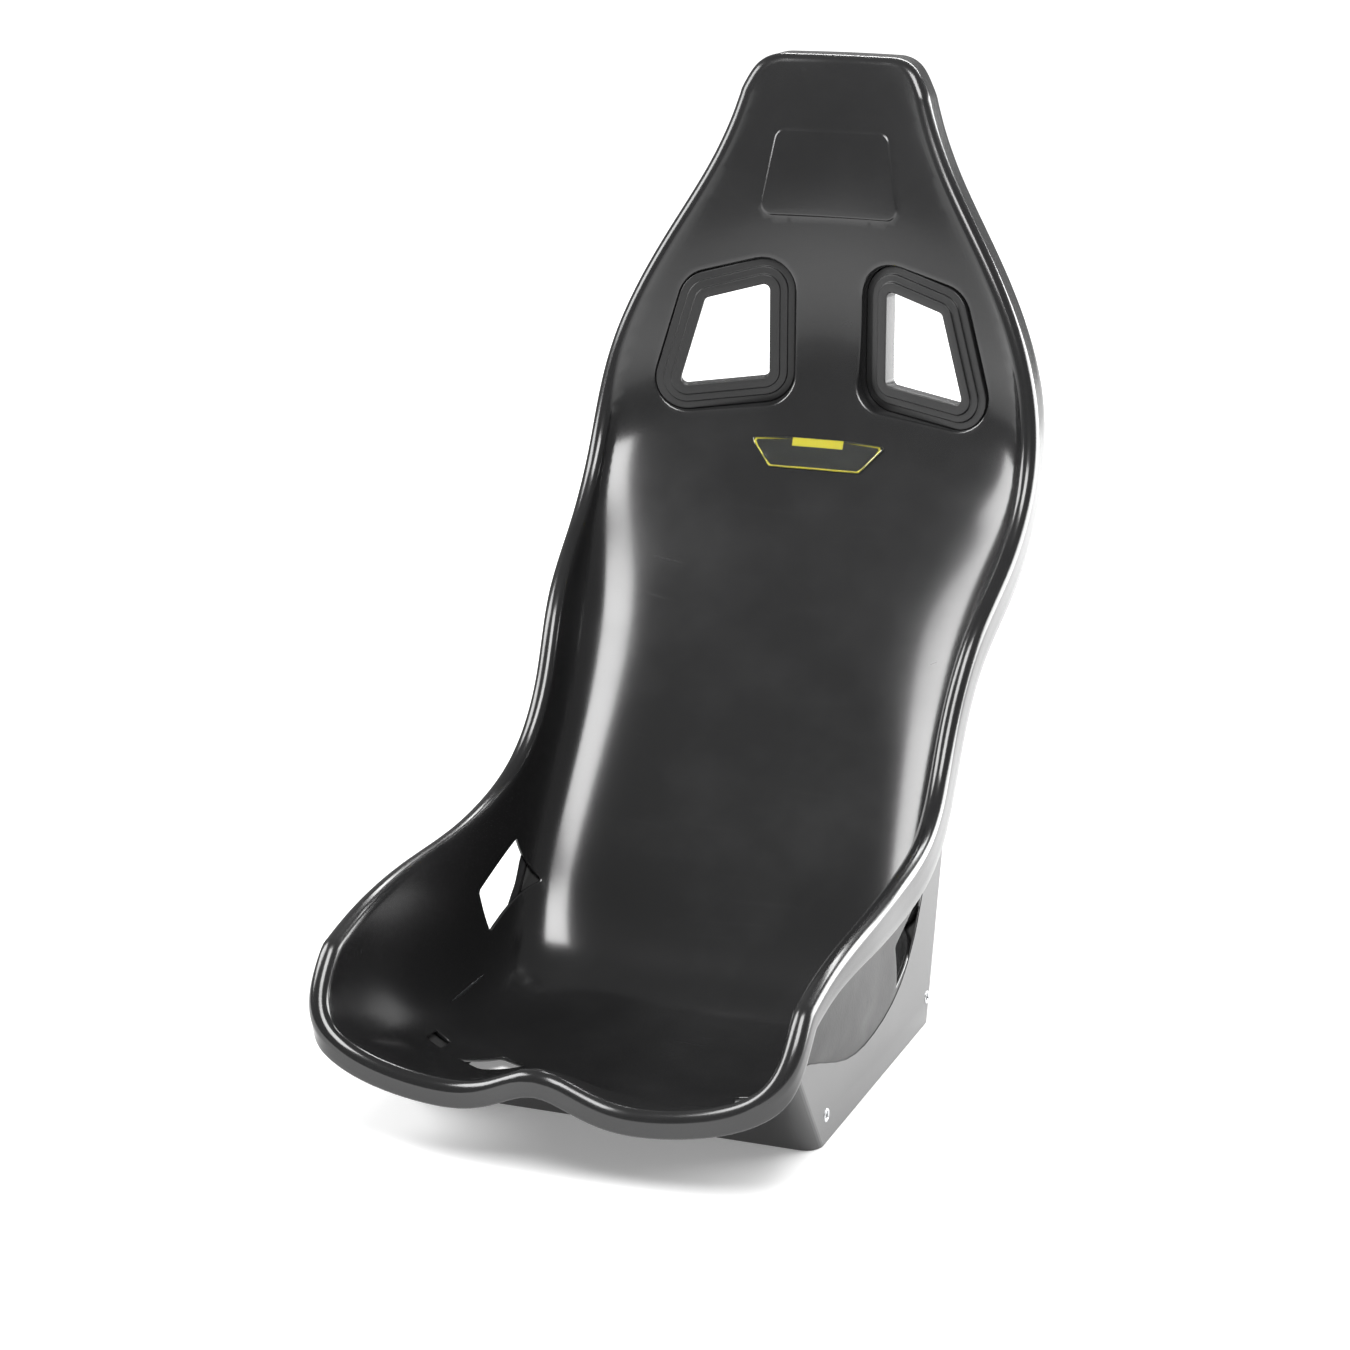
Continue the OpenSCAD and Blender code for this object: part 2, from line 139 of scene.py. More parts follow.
def bowl(t, v):
    """Points of the inner face, in metres."""
    t = np.atleast_1d(np.asarray(t, float))
    v = np.broadcast_to(np.asarray(v, float), t.shape)
    mid_y, mid_z, top_x, top_y, top_z, full, _ = template_at(t).T
    turn = np.clip(np.abs(v), 0, 1) * math.pi / 2
    a = np.sin(turn) ** (2 / np.maximum(full, 2))
    c = MIDDLE_ROUND * np.maximum(2 - full, 0)
    u = (np.sqrt(a**2 + c**2) - c) / (np.sqrt(1 + c**2) - c)
    b = 1 - np.maximum(1 - u**full, 0) ** (1 / full)
    x = np.sign(v) * top_x * a
    fade = np.where(t < 1, 1, (1 + np.cos(math.pi / 2 * (np.clip(t, 1, 3) - 1))) / 2)
    hump = HUMP_H * np.exp(-(x / HUMP_W) ** 2) * fade
    y = mid_y + (top_y - mid_y) * b - HUMP_FORWARD * hump
    z = mid_z + (top_z - mid_z) * b + hump
    return np.stack([x, y, z], 1) * MM + [0, datum_y, 0]


def unit(a):
    return a / np.maximum(np.linalg.norm(a, axis=-1, keepdims=True), 1e-12)


def facing(t, v):
    """Unit normals of the inner face, towards the sitter."""
    t = np.atleast_1d(np.asarray(t, float))
    v = np.broadcast_to(np.asarray(v, float), t.shape)
    across = bowl(t, np.minimum(v + 0.01, 1)) - bowl(t, np.maximum(v - 0.01, -1))
    up = bowl(t + 0.02, v) - bowl(t - 0.02, v)
    return unit(np.cross(across, up))


print("pan middle, mm:", (bowl(4, 0)[0] / MM).round(1), " head middle, mm:", (bowl(13.5, 0)[0] / MM).round(1))

# %% [markdown]
# The edge of the bowl
#
# The skin ends along one closed line: across the front, round the corners, up the sides and across
# the head. It is drawn on the surface itself as a rectangle with rounded corners.

# %% The edge line
SKIN = 4 * MM
ROLL = 9.5 * MM
FLANGE = 24 * MM
FRONT_CORNER = (0.45, 0.34)
TOP_CORNER = (0.35, 0.5)
side_low = T_FRONT + FRONT_CORNER[0]
side_high = T_TOP - TOP_CORNER[0]


def stretch(n):
    return np.arange(n) / n


quarter = stretch(26) * math.pi / 2
front_run = [(T_FRONT, (1 - FRONT_CORNER[1]) * s) for s in stretch(48)]
front_turn = [(T_FRONT + FRONT_CORNER[0] * (1 - math.cos(a)), 1 - FRONT_CORNER[1] * (1 - math.sin(a)))
              for a in quarter]
side_run = [(side_low + (side_high - side_low) * s, 1.0) for s in stretch(250)]
top_turn = [(side_high + TOP_CORNER[0] * math.sin(a), 1 - TOP_CORNER[1] * (1 - math.cos(a)))
            for a in quarter]
top_run = [(T_TOP, (1 - TOP_CORNER[1]) * (1 - s)) for s in stretch(16)] + [(T_TOP, 0.0)]
half_edge = np.array(front_run + front_turn + side_run + top_turn + top_run)
HALF = len(half_edge) - 1
edge_tv = np.vstack([half_edge, half_edge[-2:0:-1] * [1, -1]])
EDGE = len(edge_tv)
edge_pts = bowl(edge_tv[:, 0], edge_tv[:, 1])
edge_len = np.linalg.norm(np.roll(edge_pts, -1, 0) - edge_pts, axis=1).sum()
print("edge points:", EDGE, " edge length, m:", round(float(edge_len), 3))

# %% [markdown]
# The rolled rim and its flange
#
# At the edge the real skin turns through a small radius and runs back as a flange, which makes the
# thin shell stiff. The flange drops straight down along the front, points rearward over the head,
# and in between stands square to the edge as seen from the side. Each edge point gets its own
# little frame of directions for that.

# %% Directions along the rim
middle_tv = np.array([(T_FRONT + 0.5 + (T_TOP - T_FRONT - 1) * min(j, EDGE - j) / HALF, 0.0)
                      for j in range(EDGE)])
near_tv = edge_tv * 0.94 + middle_tv * 0.06
run = unit(np.roll(edge_pts, -1, 0) - np.roll(edge_pts, 1, 0))
way = np.where(edge_tv[:, :1] < 7, [[0, 0, -1.0]], [[0, 1.0, 0]])
square_on = unit(way - (way * run).sum(1)[:, None] * run)
side_on = np.sign(edge_tv[:, 1:]) * unit(np.cross(run, [1.0, 0, 0]))
lean = np.abs(run[:, :1])
down = unit(side_on + (square_on - side_on) * lean)
out = np.cross(down, run)
reach = edge_pts - bowl(near_tv[:, 0], near_tv[:, 1])
arrive = np.arctan2((reach * out).sum(1), -(reach * down).sum(1))
arrive = (np.roll(arrive, 1) + arrive * 2 + np.roll(arrive, -1)) / 4
flange_depth = FLANGE * template_at(edge_tv[:, 0])[:, 6]
print("roll turns through", round(math.degrees(math.pi - arrive.max())), "to",
      round(math.degrees(math.pi - arrive.min())), "degrees")


def roll_ring(s, inward, flange_share=0.0):
    """A ring of points round the roll: s from 0 to 1 round the bend, then a share of the flange."""
    q = arrive + (math.pi - arrive) * s
    centre = edge_pts + ROLL * (np.sin(arrive)[:, None] * down + np.cos(arrive)[:, None] * out)
    arm = -(np.sin(q)[:, None] * down + np.cos(q)[:, None] * out)
    return centre + (ROLL - inward) * arm + (flange_share * flange_depth)[:, None] * down


# %% [markdown]
# Outlines of the cut-outs
#
# The lap belt holes, the leg strap slots, the drain holes, the belt slots and the raised head panel
# are all polygons with rounded corners. Growing one keeps the centres of its corner arcs, as a router
# following the same template with a wider guide would, so rings of one outline always match point
# for point.

# %% Rounded outlines


def rounded(corners, radius, grow=0.0, arc=9, straight=6.0):
    """Points round a polygon with rounded corners, anticlockwise, grown outward by grow; millimetres."""
    corners = np.array(corners, float)
    after = np.roll(corners, -1, 0)
    if (corners[:, 0] * after[:, 1] - after[:, 0] * corners[:, 1]).sum() < 0:
        corners = corners[::-1]
    n = len(corners)
    ways = unit(np.roll(corners, -1, 0) - corners)
    normals = np.stack([ways[:, 1], -ways[:, 0]], 1)
    points = []
    for i in range(n):
        n0, n1 = normals[i - 1], normals[i]
        half = (n0 + n1) / (1 + n0 @ n1)
        centre = corners[i] - half * radius
        a0 = math.atan2(n0[1], n0[0])
        sweep = (math.atan2(n1[1], n1[0]) - a0) % (2 * math.pi)
        for k in range(arc + 1):
            a = a0 + sweep * k / arc
            points.append(centre + (radius + grow) * np.array([math.cos(a), math.sin(a)]))
        far = corners[(i + 1) % n]
        n2 = normals[(i + 1) % n]
        far_centre = far - (n1 + n2) / (1 + n1 @ n2) * radius
        start = centre + (radius + grow) * n1
        end = far_centre + (radius + grow) * n1
        steps = max(int(np.linalg.norm(far_centre - centre) / straight), 1)
        for k in range(1, steps):
            points.append(start + (end - start) * k / steps)
    return np.array(points)


def turned(points, degrees, middle=(0, 0)):
    c, s = math.cos(math.radians(degrees)), math.sin(math.radians(degrees))
    return np.array(points) @ np.array([[c, s], [-s, c]]) + middle


def slanted(a, a_way, b, b_way):
    """A four sided outline from two half axes and their directions."""
    p = a * np.array([math.cos(math.radians(a_way)), math.sin(math.radians(a_way))])
    q = b * np.array([math.cos(math.radians(b_way)), math.sin(math.radians(b_way))])
    return np.array([p + q, q - p, -p - q, p - q])


LAP = slanted(43, 17.6, 23.5, -70) + [75, 108]
STRAP = turned([[-13, -60], [13, -60], [13, 0], [-13, 0]], 18, (112, -98))
DRAIN = turned([[-6, -17], [6, -17], [6, 17], [-6, 17]], -9, (166.6, -138))
HEAD_PANEL = np.array([[-70, 696], [70, 696], [55.3, 777], [-55.3, 777]])
PANEL_CORNER = 10
SLOT = np.array([[-36, 53], [27, 37], [53, -50], [-36, -40]])
SLOT_CORNER = 6
BADGE_H = 28
BADGE = np.array([[-70, 0.42 * BADGE_H], [-28.7, 0.5 * BADGE_H], [28.7, 0.5 * BADGE_H], [70, 0.42 * BADGE_H],
                  [46.2, -0.5 * BADGE_H], [-46.2, -0.5 * BADGE_H]]) + [0, 469]
print("points round a belt slot:", len(rounded(SLOT, SLOT_CORNER)))

# %% [markdown]
# Cutting straight through a curved skin
#
# A real cut-out is sawn in one direction through the curved skin: sideways for the lap holes,
# downward for the pan, and along the frame's own axis for the belt slots. So every outline lives in
# a flat view, and a few Newton steps find where each of its points meets the skin.

# %% Finding where an outline meets the skin
SLOT_AT = np.array([0.449 * SHOULDER, 412.5, 576])
SLOT_YAW = math.radians(-16)
SLOT_X = np.array([math.cos(SLOT_YAW), math.sin(SLOT_YAW), 0])
SLOT_Y = np.array([-math.sin(SLOT_YAW), math.cos(SLOT_YAW), 0])


def drawn(points):
    """From the frame, in metres, to millimetres from the side bolts."""
    return (points - [0, datum_y, 0]) / MM


def placed(points):
    """From millimetres from the side bolts to the frame, in metres."""
    return np.asarray(points) * MM + [0, datum_y, 0]


def from_side(p):
    return drawn(p)[:, 1:]


def from_above(p):
    return drawn(p)[:, :2]


def from_front(p):
    return drawn(p)[:, [0, 2]]


def from_slot(p):
    q = drawn(p) - SLOT_AT
    return np.stack([q @ SLOT_X, q[:, 2]], 1)


def slot_depth(p):
    return (drawn(p) - SLOT_AT) @ SLOT_Y


def on_skin(outline, flat, t_range, v_range):
    """The (t, v) of each point of an outline seen in a flat view."""
    tt, vv = np.meshgrid(np.linspace(*t_range, 60), np.linspace(*v_range, 60))
    tt, vv = tt.ravel(), vv.ravel()
    tree = kdtree.KDTree(len(tt))
    for i, p in enumerate(flat(bowl(tt, vv))):
        tree.insert((p[0], p[1], 0), i)
    tree.balance()
    near = [tree.find((p[0], p[1], 0))[1] for p in outline]
    t, v = tt[near].copy(), vv[near].copy()
    step = 1e-4
    for _ in range(14):
        here = flat(bowl(t, v))
        by_t = (flat(bowl(t + step, v)) - here) / step
        by_v = (flat(bowl(t, v - step)) - here) / -step
        miss = outline - here
        det = by_t[:, 0] * by_v[:, 1] - by_t[:, 1] * by_v[:, 0]
        det = np.where(np.abs(det) < 1e-6, 1e-6, det)
        dt = (miss[:, 0] * by_v[:, 1] - miss[:, 1] * by_v[:, 0]) / det
        dv = (by_t[:, 0] * miss[:, 1] - by_t[:, 1] * miss[:, 0]) / det
        t = t + np.clip(dt, -0.2, 0.2)
        v = np.clip(v + np.clip(dv, -0.05, 0.05), -0.9995, 0.9995)
    left = np.abs(flat(bowl(t, v)) - outline).max()
    if left > 0.3:
        print("an outline misses the skin by", round(float(left), 2), "mm")
    return np.stack([t, v], 1)


def mirrored(tv):
    """The same ring on the other side, still anticlockwise."""
    return (tv * [1, -1])[::-1]


print("slot frame middle, m:", placed(SLOT_AT).round(4))

# %% [markdown]
# Laying out the skin
#
# The skin is triangulated in a flat pattern, as if it were unrolled: width is the length measured
# along each template, height is the template's number. The edge and every cut-out are fixed lines
# in that pattern, and an even grid of points fills the rest.

# %% The flat pattern
GRID = 6.5 if FINE else 11
LIP = 1.5
POCKET_EDGE = 25.4
POCKET_ROUND = 2.5
POCKET_DEPTH = 10.4
THROUGH = 2.4
BOSS_DEPTH = POCKET_DEPTH + 4
BOSS_EDGE = POCKET_EDGE + 4
STEP_HEIGHTS = ((1.4, 0.0), (0.8, 0.12), (0.3, 0.42), (-0.2, 0.78), (-0.8, 0.96), (-1.5, 1.0))


def across(t, v, steps=90):
    """Length along the template from the middle of the seat, in millimetres, signed."""
    total = np.zeros(len(t))
    before = bowl(t, v * 0)
    for k in range(1, steps + 1):
        here = bowl(t, v * k / steps)
        total += np.linalg.norm(here - before, axis=1)
        before = here
    return np.sign(v) * total / MM


def pattern(tv):
    tv = np.asarray(tv)
    return np.stack([across(tv[:, 0], tv[:, 1]), tv[:, 0] * 100], 1)


def inside(points, loop):
    """Which points lie inside a closed loop."""
    x, y = points[:, 0], points[:, 1]
    hit = np.zeros(len(points), bool)
    for (ax, ay), (bx, by) in zip(loop, np.roll(loop, -1, 0)):
        if ay != by:
            cross = ((ay > y) != (by > y)) & (x < (bx - ax) * (y - ay) / (by - ay) + ax)
            hit ^= cross
    return hit


LAP_AREA = (from_side, (4.0, 8.5), (0.45, 0.9995))
PAN_AREA = (from_above, (1.2, 5.5), (0.1, 0.9))
SLOT_AREA = (from_slot, (9.4, 13.2), (0.02, 0.97))
HEAD_AREA = (from_front, (11.6, 14.0), (-0.97, 0.97))
HOLES = {"lap": (LAP, 3, LAP_AREA), "strap": (STRAP, 4, PAN_AREA), "drain": (DRAIN, 3, PAN_AREA)}
hole_rings = {}
lip_turn = np.linspace(0, math.pi / 2, 5)
for name, (corners, radius, area) in HOLES.items():
    hole_rings[name] = [on_skin(rounded(corners, radius, LIP * (1 - math.sin(a)), straight=5.0), *area)
                        for a in lip_turn]
    print(name, "rings of", len(hole_rings[name][0]))
pocket_turn = np.linspace(0, math.pi / 2, 6)


def slot_outline(grow):
    return rounded(SLOT, SLOT_CORNER, grow, straight=5.0)


pocket_rings, boss_rings = ([on_skin(slot_outline(edge + POCKET_ROUND * (1 - math.sin(a))), *SLOT_AREA)
                             for a in pocket_turn] for edge in (POCKET_EDGE, BOSS_EDGE))
head_rings = [on_skin(rounded(HEAD_PANEL, PANEL_CORNER, g, straight=5.0), *HEAD_AREA) for g, _ in STEP_HEIGHTS]
wall_left = POCKET_DEPTH - slot_depth(bowl(*pocket_rings[-1].T))
print("pocket walls, mm:", wall_left.min().round(1), "to", wall_left.max().round(1))

# %% Fill the pattern with points


class Sheet:
    """The flat pattern: fixed lines, grid points and their places on the skin."""

    def __init__(self):
        self.tv, self.height, self.links, self.loops = [], [], [], {}
        self.count = 0

    def line(self, name, tv, height=0.0):
        n = len(tv)
        self.loops[name] = (self.count, n)
        self.tv.append(tv)
        self.height.append(np.full(n, height))
        self.links += [(self.count + k, self.count + (k + 1) % n) for k in range(n)]
        self.count += n

    def flat_loop(self, name):
        start, n = self.loops[name]
        return self.flat[start:start + n]


sheet = Sheet()
sheet.line("edge", edge_tv)
for name, rings in hole_rings.items():
    sheet.line(name + " right", rings[0])
    sheet.line(name + " left", mirrored(rings[0]))
for label, rings in (("pocket", pocket_rings), ("boss", boss_rings)):
    sheet.line(label + " right", rings[0])
    sheet.line(label + " left", mirrored(rings[0]))
for (_, height), ring in zip(STEP_HEIGHTS, head_rings):
    sheet.line("head %.2f" % height, ring, height)
fixed_tv = np.vstack(sheet.tv)
sheet.flat = pattern(fixed_tv)
near_fixed = kdtree.KDTree(len(sheet.flat))
for i, p in enumerate(sheet.flat):
    near_fixed.insert((p[0], p[1], 0), i)
near_fixed.balance()
grid_tv, grid_flat = [], []
for row, level in enumerate(np.arange(T_FRONT * 100 + 3, T_TOP * 100 - 2, GRID * 0.9)):
    v_line = np.linspace(0, 1, 400)
    row_pts = bowl(np.full(400, level / 100), v_line)
    lengths = np.concatenate([[0], np.linalg.norm(np.diff(row_pts, axis=0), axis=1).cumsum()]) / MM
    places = np.arange(0.25 + 0.5 * (row % 2), lengths[-1] / GRID) * GRID
    for side in (1, -1):
        across_v = side * np.interp(places, lengths, v_line)
        grid_tv.append(np.stack([np.full(len(places), level / 100), across_v], 1))
        grid_flat.append(np.stack([side * places, np.full(len(places), level)], 1))
grid_tv, grid_flat = np.vstack(grid_tv), np.vstack(grid_flat)
clear = np.array([near_fixed.find((p[0], p[1], 0))[2] > GRID * 0.5 for p in grid_flat])
clear &= inside(grid_flat, sheet.flat_loop("edge"))
grid_tv, grid_flat = grid_tv[clear], grid_flat[clear]
grid_height = inside(grid_flat, sheet.flat_loop("head 1.00")).astype(float)
print("fixed points:", len(fixed_tv), " grid points:", len(grid_tv))

# %% Triangulate the pattern
all_tv = np.vstack([fixed_tv, grid_tv])
all_flat = np.vstack([sheet.flat, grid_flat])
all_height = np.concatenate(sheet.height + [grid_height])
found = delaunay_2d_cdt([Vector(p) for p in all_flat], sheet.links, [], 0, 1e-5, True)
flat_out = np.array([tuple(p) for p in found[0]])
triangles = np.array([tuple(f) for f in found[2]])
source = np.array([ids[0] if len(ids) else -1 for ids in found[3]])
if (source < 0).any():
    print("crossing lines:", int((source < 0).sum()))
    source = np.where(source < 0, 0, source)
skin_tv, skin_height = all_tv[source], all_height[source] * MM
centres = flat_out[triangles].mean(1)
keep = inside(centres, sheet.flat_loop("edge"))
for name in sheet.loops:
    if name.split()[0] in HOLES:
        keep &= ~inside(centres, sheet.flat_loop(name))
front_keep, back_keep = keep.copy(), keep.copy()
for side in ("right", "left"):
    front_keep &= ~inside(centres, sheet.flat_loop("pocket " + side))
    back_keep &= ~inside(centres, sheet.flat_loop("boss " + side))
print("triangles in front:", int(front_keep.sum()), " behind:", int(back_keep.sum()))

# %% [markdown]
# Turning the pattern into a skin
#
# The front sheet is the polished face that came off the mould. The back sheet lies one wall behind
# it. Closed strips join them round every hole and along the rim, each with a small radius, so the
# piece is one sealed solid the way a trimmed and rolled laminate is.

# %% Piece builder and strips
WELD = 1e-5


class Maker:
    """Collects rings and sheets and makes one sealed piece of them."""

    def __init__(self):
        self.points, self.faces, self.slots, self.count = [], [], [], 0

    def add(self, points, faces, slot=0):
        self.points.append(np.asarray(points, float))
        self.faces += [tuple(int(i) + self.count for i in f) for f in faces]
        self.slots += [slot] * len(faces)
        self.count += len(points)

    def strips(self, rings, slot=0, turn=False):
        n = len(rings[0])
        faces = []
        for r in range(len(rings) - 1):
            for k in range(n):
                a, b = r * n + k, r * n + (k + 1) % n
                face = (a, b, b + n, a + n)
                faces.append(face[::-1] if turn else face)
        self.add(np.vstack(rings), faces, slot)

    def piece(self, name, materials, smooth=True, sharp=None):
        mesh = bpy.data.meshes.new(name)
        mesh.from_pydata(np.vstack(self.points).tolist(), [], self.faces)
        for m in materials:
            mesh.materials.append(m)
        mesh.polygons.foreach_set("material_index", self.slots)
        shape = bmesh.new()
        shape.from_mesh(mesh)
        bmesh.ops.remove_doubles(shape, verts=shape.verts, dist=WELD)
        bmesh.ops.recalc_face_normals(shape, faces=shape.faces)
        if shape.calc_volume(signed=True) < 0:
            bmesh.ops.reverse_faces(shape, faces=shape.faces)
        open_edges = sum(1 for e in shape.edges if len(e.link_faces) != 2)
        shape.to_mesh(mesh)
        shape.free()
        if smooth:
            mesh.shade_smooth()
        if sharp:
            mesh.set_sharp_from_angle(angle=math.radians(sharp))
        made = bpy.data.objects.new(name, mesh)
        bpy.context.collection.objects.link(made)
        print(name, "faces:", len(mesh.polygons), " open edges:", open_edges)
        return made


print("weld distance, mm:", WELD / MM)

# %% [markdown]
# Finishes
#
# The seat's mould face is glossy gelcoat: almost black, with the faint orange peel of a sprayed
# coat, a little dust and fine rubbing streaks in its gloss. Effects that several finishes
# share are node groups, so each one can be tuned in one place.

# %% Shared surface effects


def group(name, inputs, outputs):
    tree = bpy.data.node_groups.new(name, "ShaderNodeTree")
    for label, value in inputs:
        kind = "NodeSocketFloat" if isinstance(value, (int, float)) else "NodeSocketVector"
        made = tree.interface.new_socket(label, in_out="INPUT", socket_type=kind)
        made.default_value = value
    for label, kind in outputs:
        tree.interface.new_socket(label, in_out="OUTPUT", socket_type=kind)
    return tree, tree.nodes.new("NodeGroupInput"), tree.nodes.new("NodeGroupOutput")


def node(tree, kind, **values):
    made = tree.nodes.new(kind)
    for key, value in values.items():
        if hasattr(made, key):
            setattr(made, key, value)
        else:
            made.inputs[key.replace("_", " ")].default_value = value
    return made


def noise_of(tree, vector, scale, detail=3.0, roughness=0.55):
    made = node(tree, "ShaderNodeTexNoise", Scale=scale, Detail=detail, Roughness=roughness)
    tree.links.new(vector, made.inputs["Vector"])
    return made.outputs["Fac"]


def between(tree, value, low, high, to_low=0.0, to_high=1.0):
    made = tree.nodes.new("ShaderNodeMapRange")
    for label, number in (("From Min", low), ("From Max", high), ("To Min", to_low), ("To Max", to_high)):
        made.inputs[label].default_value = number
    tree.links.new(value, made.inputs["Value"])
    return made.outputs["Result"]


def maths(tree, operation, a, b):
    made = tree.nodes.new("ShaderNodeMath")
    made.operation = operation
    for socket, value in zip(made.inputs, (a, b)):
        if isinstance(value, (int, float)):
            socket.default_value = value
        else:
            tree.links.new(value, socket)
    return made.outputs["Value"]


peel, peel_in, peel_out = group("coat_ripple", [("Size", 160.0), ("Height", 0.00002)],
                                [("Normal", "NodeSocketVector")])
peel_where = peel.nodes.new("ShaderNodeTexCoord").outputs["Object"]
peel_noise = node(peel, "ShaderNodeTexNoise", Detail=2.0, Roughness=0.5)
peel.links.new(peel_where, peel_noise.inputs["Vector"])
peel.links.new(peel_in.outputs["Size"], peel_noise.inputs["Scale"])
peel_bump = node(peel, "ShaderNodeBump", Strength=1.0)
peel.links.new(peel_in.outputs["Height"], peel_bump.inputs["Distance"])
peel.links.new(peel_noise.outputs["Fac"], peel_bump.inputs["Height"])
peel.links.new(peel_bump.outputs["Normal"], peel_out.inputs["Normal"])

wear, wear_in, wear_out = group("handling_marks", [("Amount", 1.0)],
                                [("Haze", "NodeSocketFloat"), ("Dust", "NodeSocketFloat")])
wear_where = wear.nodes.new("ShaderNodeTexCoord").outputs["Object"]
clouds = between(wear, noise_of(wear, wear_where, 5.0, 4.0, 0.6), 0.42, 0.72)
stretched = node(wear, "ShaderNodeMapping")
stretched.inputs["Rotation"].default_value = (0.4, 0.9, 0.3)
stretched.inputs["Scale"].default_value = (9.0, 420.0, 60.0)
wear.links.new(wear_where, stretched.inputs["Vector"])
rubs = between(wear, noise_of(wear, stretched.outputs["Vector"], 1.0, 2.0), 0.66, 0.8)
haze = maths(wear, "MULTIPLY", maths(wear, "ADD", clouds, maths(wear, "MULTIPLY", rubs, 0.5)),
             wear_in.outputs["Amount"])
wear.links.new(haze, wear_out.inputs["Haze"])
specks = between(wear, noise_of(wear, wear_where, 900.0, 1.0), 0.78, 0.84)
settled = wear.nodes.new("ShaderNodeNewGeometry")
upward = node(wear, "ShaderNodeSeparateXYZ")
wear.links.new(settled.outputs["Normal"], upward.inputs["Vector"])
lying = between(wear, upward.outputs["Z"], 0.2, 1.0)
film = maths(wear, "MULTIPLY", clouds, 0.25)
dust = maths(wear, "MULTIPLY", maths(wear, "MULTIPLY", maths(wear, "ADD", specks, film), lying),
             wear_in.outputs["Amount"])
wear.links.new(dust, wear_out.inputs["Dust"])
print("shared effects:", [g.name for g in (peel, wear)])

# %% Finishes


def finish(name, base, roughness, spread=0.08, ripple=(160.0, 0.00002), amount=1.0, dust_tone=0.25, **sockets):
    """A finish with its own roughness variation, ripple and dust."""
    made = bpy.data.materials.new(name)
    made.use_nodes = True
    tree = made.node_tree
    shader = tree.nodes["Principled BSDF"]
    for key, value in sockets.items():
        shader.inputs[key.replace("_", " ")].default_value = value
    marks = tree.nodes.new("ShaderNodeGroup")
    marks.node_tree = wear
    marks.inputs["Amount"].default_value = amount
    coat = tree.nodes.new("ShaderNodeGroup")
    coat.node_tree = peel
    coat.inputs["Size"].default_value, coat.inputs["Height"].default_value = ripple
    tree.links.new(coat.outputs["Normal"], shader.inputs["Normal"])
    tree.links.new(between(tree, marks.outputs["Haze"], 0.0, 1.0, roughness, roughness + spread),
                   shader.inputs["Roughness"])
    tone = tree.nodes.new("ShaderNodeMix")
    tone.data_type = "RGBA"
    tone.inputs[6].default_value = (*base, 1)
    tone.inputs[7].default_value = (dust_tone, dust_tone, dust_tone, 1)
    tree.links.new(maths(tree, "MULTIPLY", marks.outputs["Dust"], 0.12), tone.inputs[0])
    tree.links.new(tone.outputs[2], shader.inputs["Base Color"])
    return made


BLACK = (0.0095, 0.0095, 0.0098)
gelcoat = finish("gelcoat", BLACK, 0.19, 0.09, (70.0, 0.00003), Coat_Weight=0.25, Coat_Roughness=0.12)
laminate = finish("laminate", (0.013, 0.013, 0.013), 0.38, 0.16, (380.0, 0.00018), 1.2)
frame_plastic = finish("frame_plastic", (0.007, 0.007, 0.0072), 0.36, 0.12, (1500.0, 0.00006))
foot_coat = finish("foot_coat", BLACK, 0.16, 0.08, (60.0, 0.00004), Coat_Weight=0.3, Coat_Roughness=0.08)
zinc = finish("zinc", (0.62, 0.63, 0.64), 0.3, 0.2, (900.0, 0.00004), 1.0, 0.4, Metallic=1.0)
plate_steel = finish("plate_steel", (0.32, 0.33, 0.34), 0.4, 0.2, (500.0, 0.00005), 1.0, 0.4, Metallic=1.0)
black_screw = finish("black_screw", (0.03, 0.03, 0.032), 0.35, 0.15, (1200.0, 0.00003), Metallic=0.8)
adhesive = finish("adhesive", (0.02, 0.02, 0.021), 0.5, 0.15, (260.0, 0.0002))
foam = finish("foam", (0.016, 0.016, 0.016), 0.8, 0.1, (700.0, 0.0004))
resin = finish("resin", (1, 1, 1), 0.02, 0.04, (60.0, 0.00001), 0.5, 0.9, Transmission_Weight=1.0, IOR=1.47)
print("finishes:", len(bpy.data.materials))

# %% [markdown]
# The seat moulding
#
# On the real seat this is the one big laminate: polished face, rolled rim, return flange, pockets
# for the slot frames and the sawn holes.

# %% Seat moulding
seat = Maker()
skin_pts = bowl(*skin_tv.T)
skin_facing = facing(*skin_tv.T)
edge_start, edge_count = sheet.loops["edge"]
edge_row = np.full(len(skin_pts), -1)
for i, s in enumerate(source):
    if edge_start <= s < edge_start + edge_count:
        edge_row[i] = s - edge_start
front_pts = skin_pts + skin_facing * skin_height[:, None]
back_pts = skin_pts - skin_facing * SKIN
on_edge = edge_row >= 0
back_pts[on_edge] = roll_ring(0, SKIN)[edge_row[on_edge]]
seat.add(front_pts, triangles[front_keep])
seat.add(back_pts, triangles[back_keep][:, ::-1], 1)

bend = np.linspace(0, 1, 15 if FINE else 9)
flange_steps = np.linspace(0, 1, 4)[1:]
tip_turn = np.linspace(0, math.pi, 7)[1:-1]
outer_rings = [roll_ring(s, 0) for s in bend] + [roll_ring(1, 0, w) for w in flange_steps]
tip_rings = [roll_ring(1, SKIN / 2 * (1 - math.cos(a)), 1) + down * (SKIN / 2 * math.sin(a)) for a in tip_turn]
inner_rings = [roll_ring(1, SKIN, w) for w in flange_steps[::-1]] + [roll_ring(s, SKIN) for s in bend[::-1]]
seat.strips(outer_rings + tip_rings[:2])
seat.strips(tip_rings[1:] + inner_rings, 1)


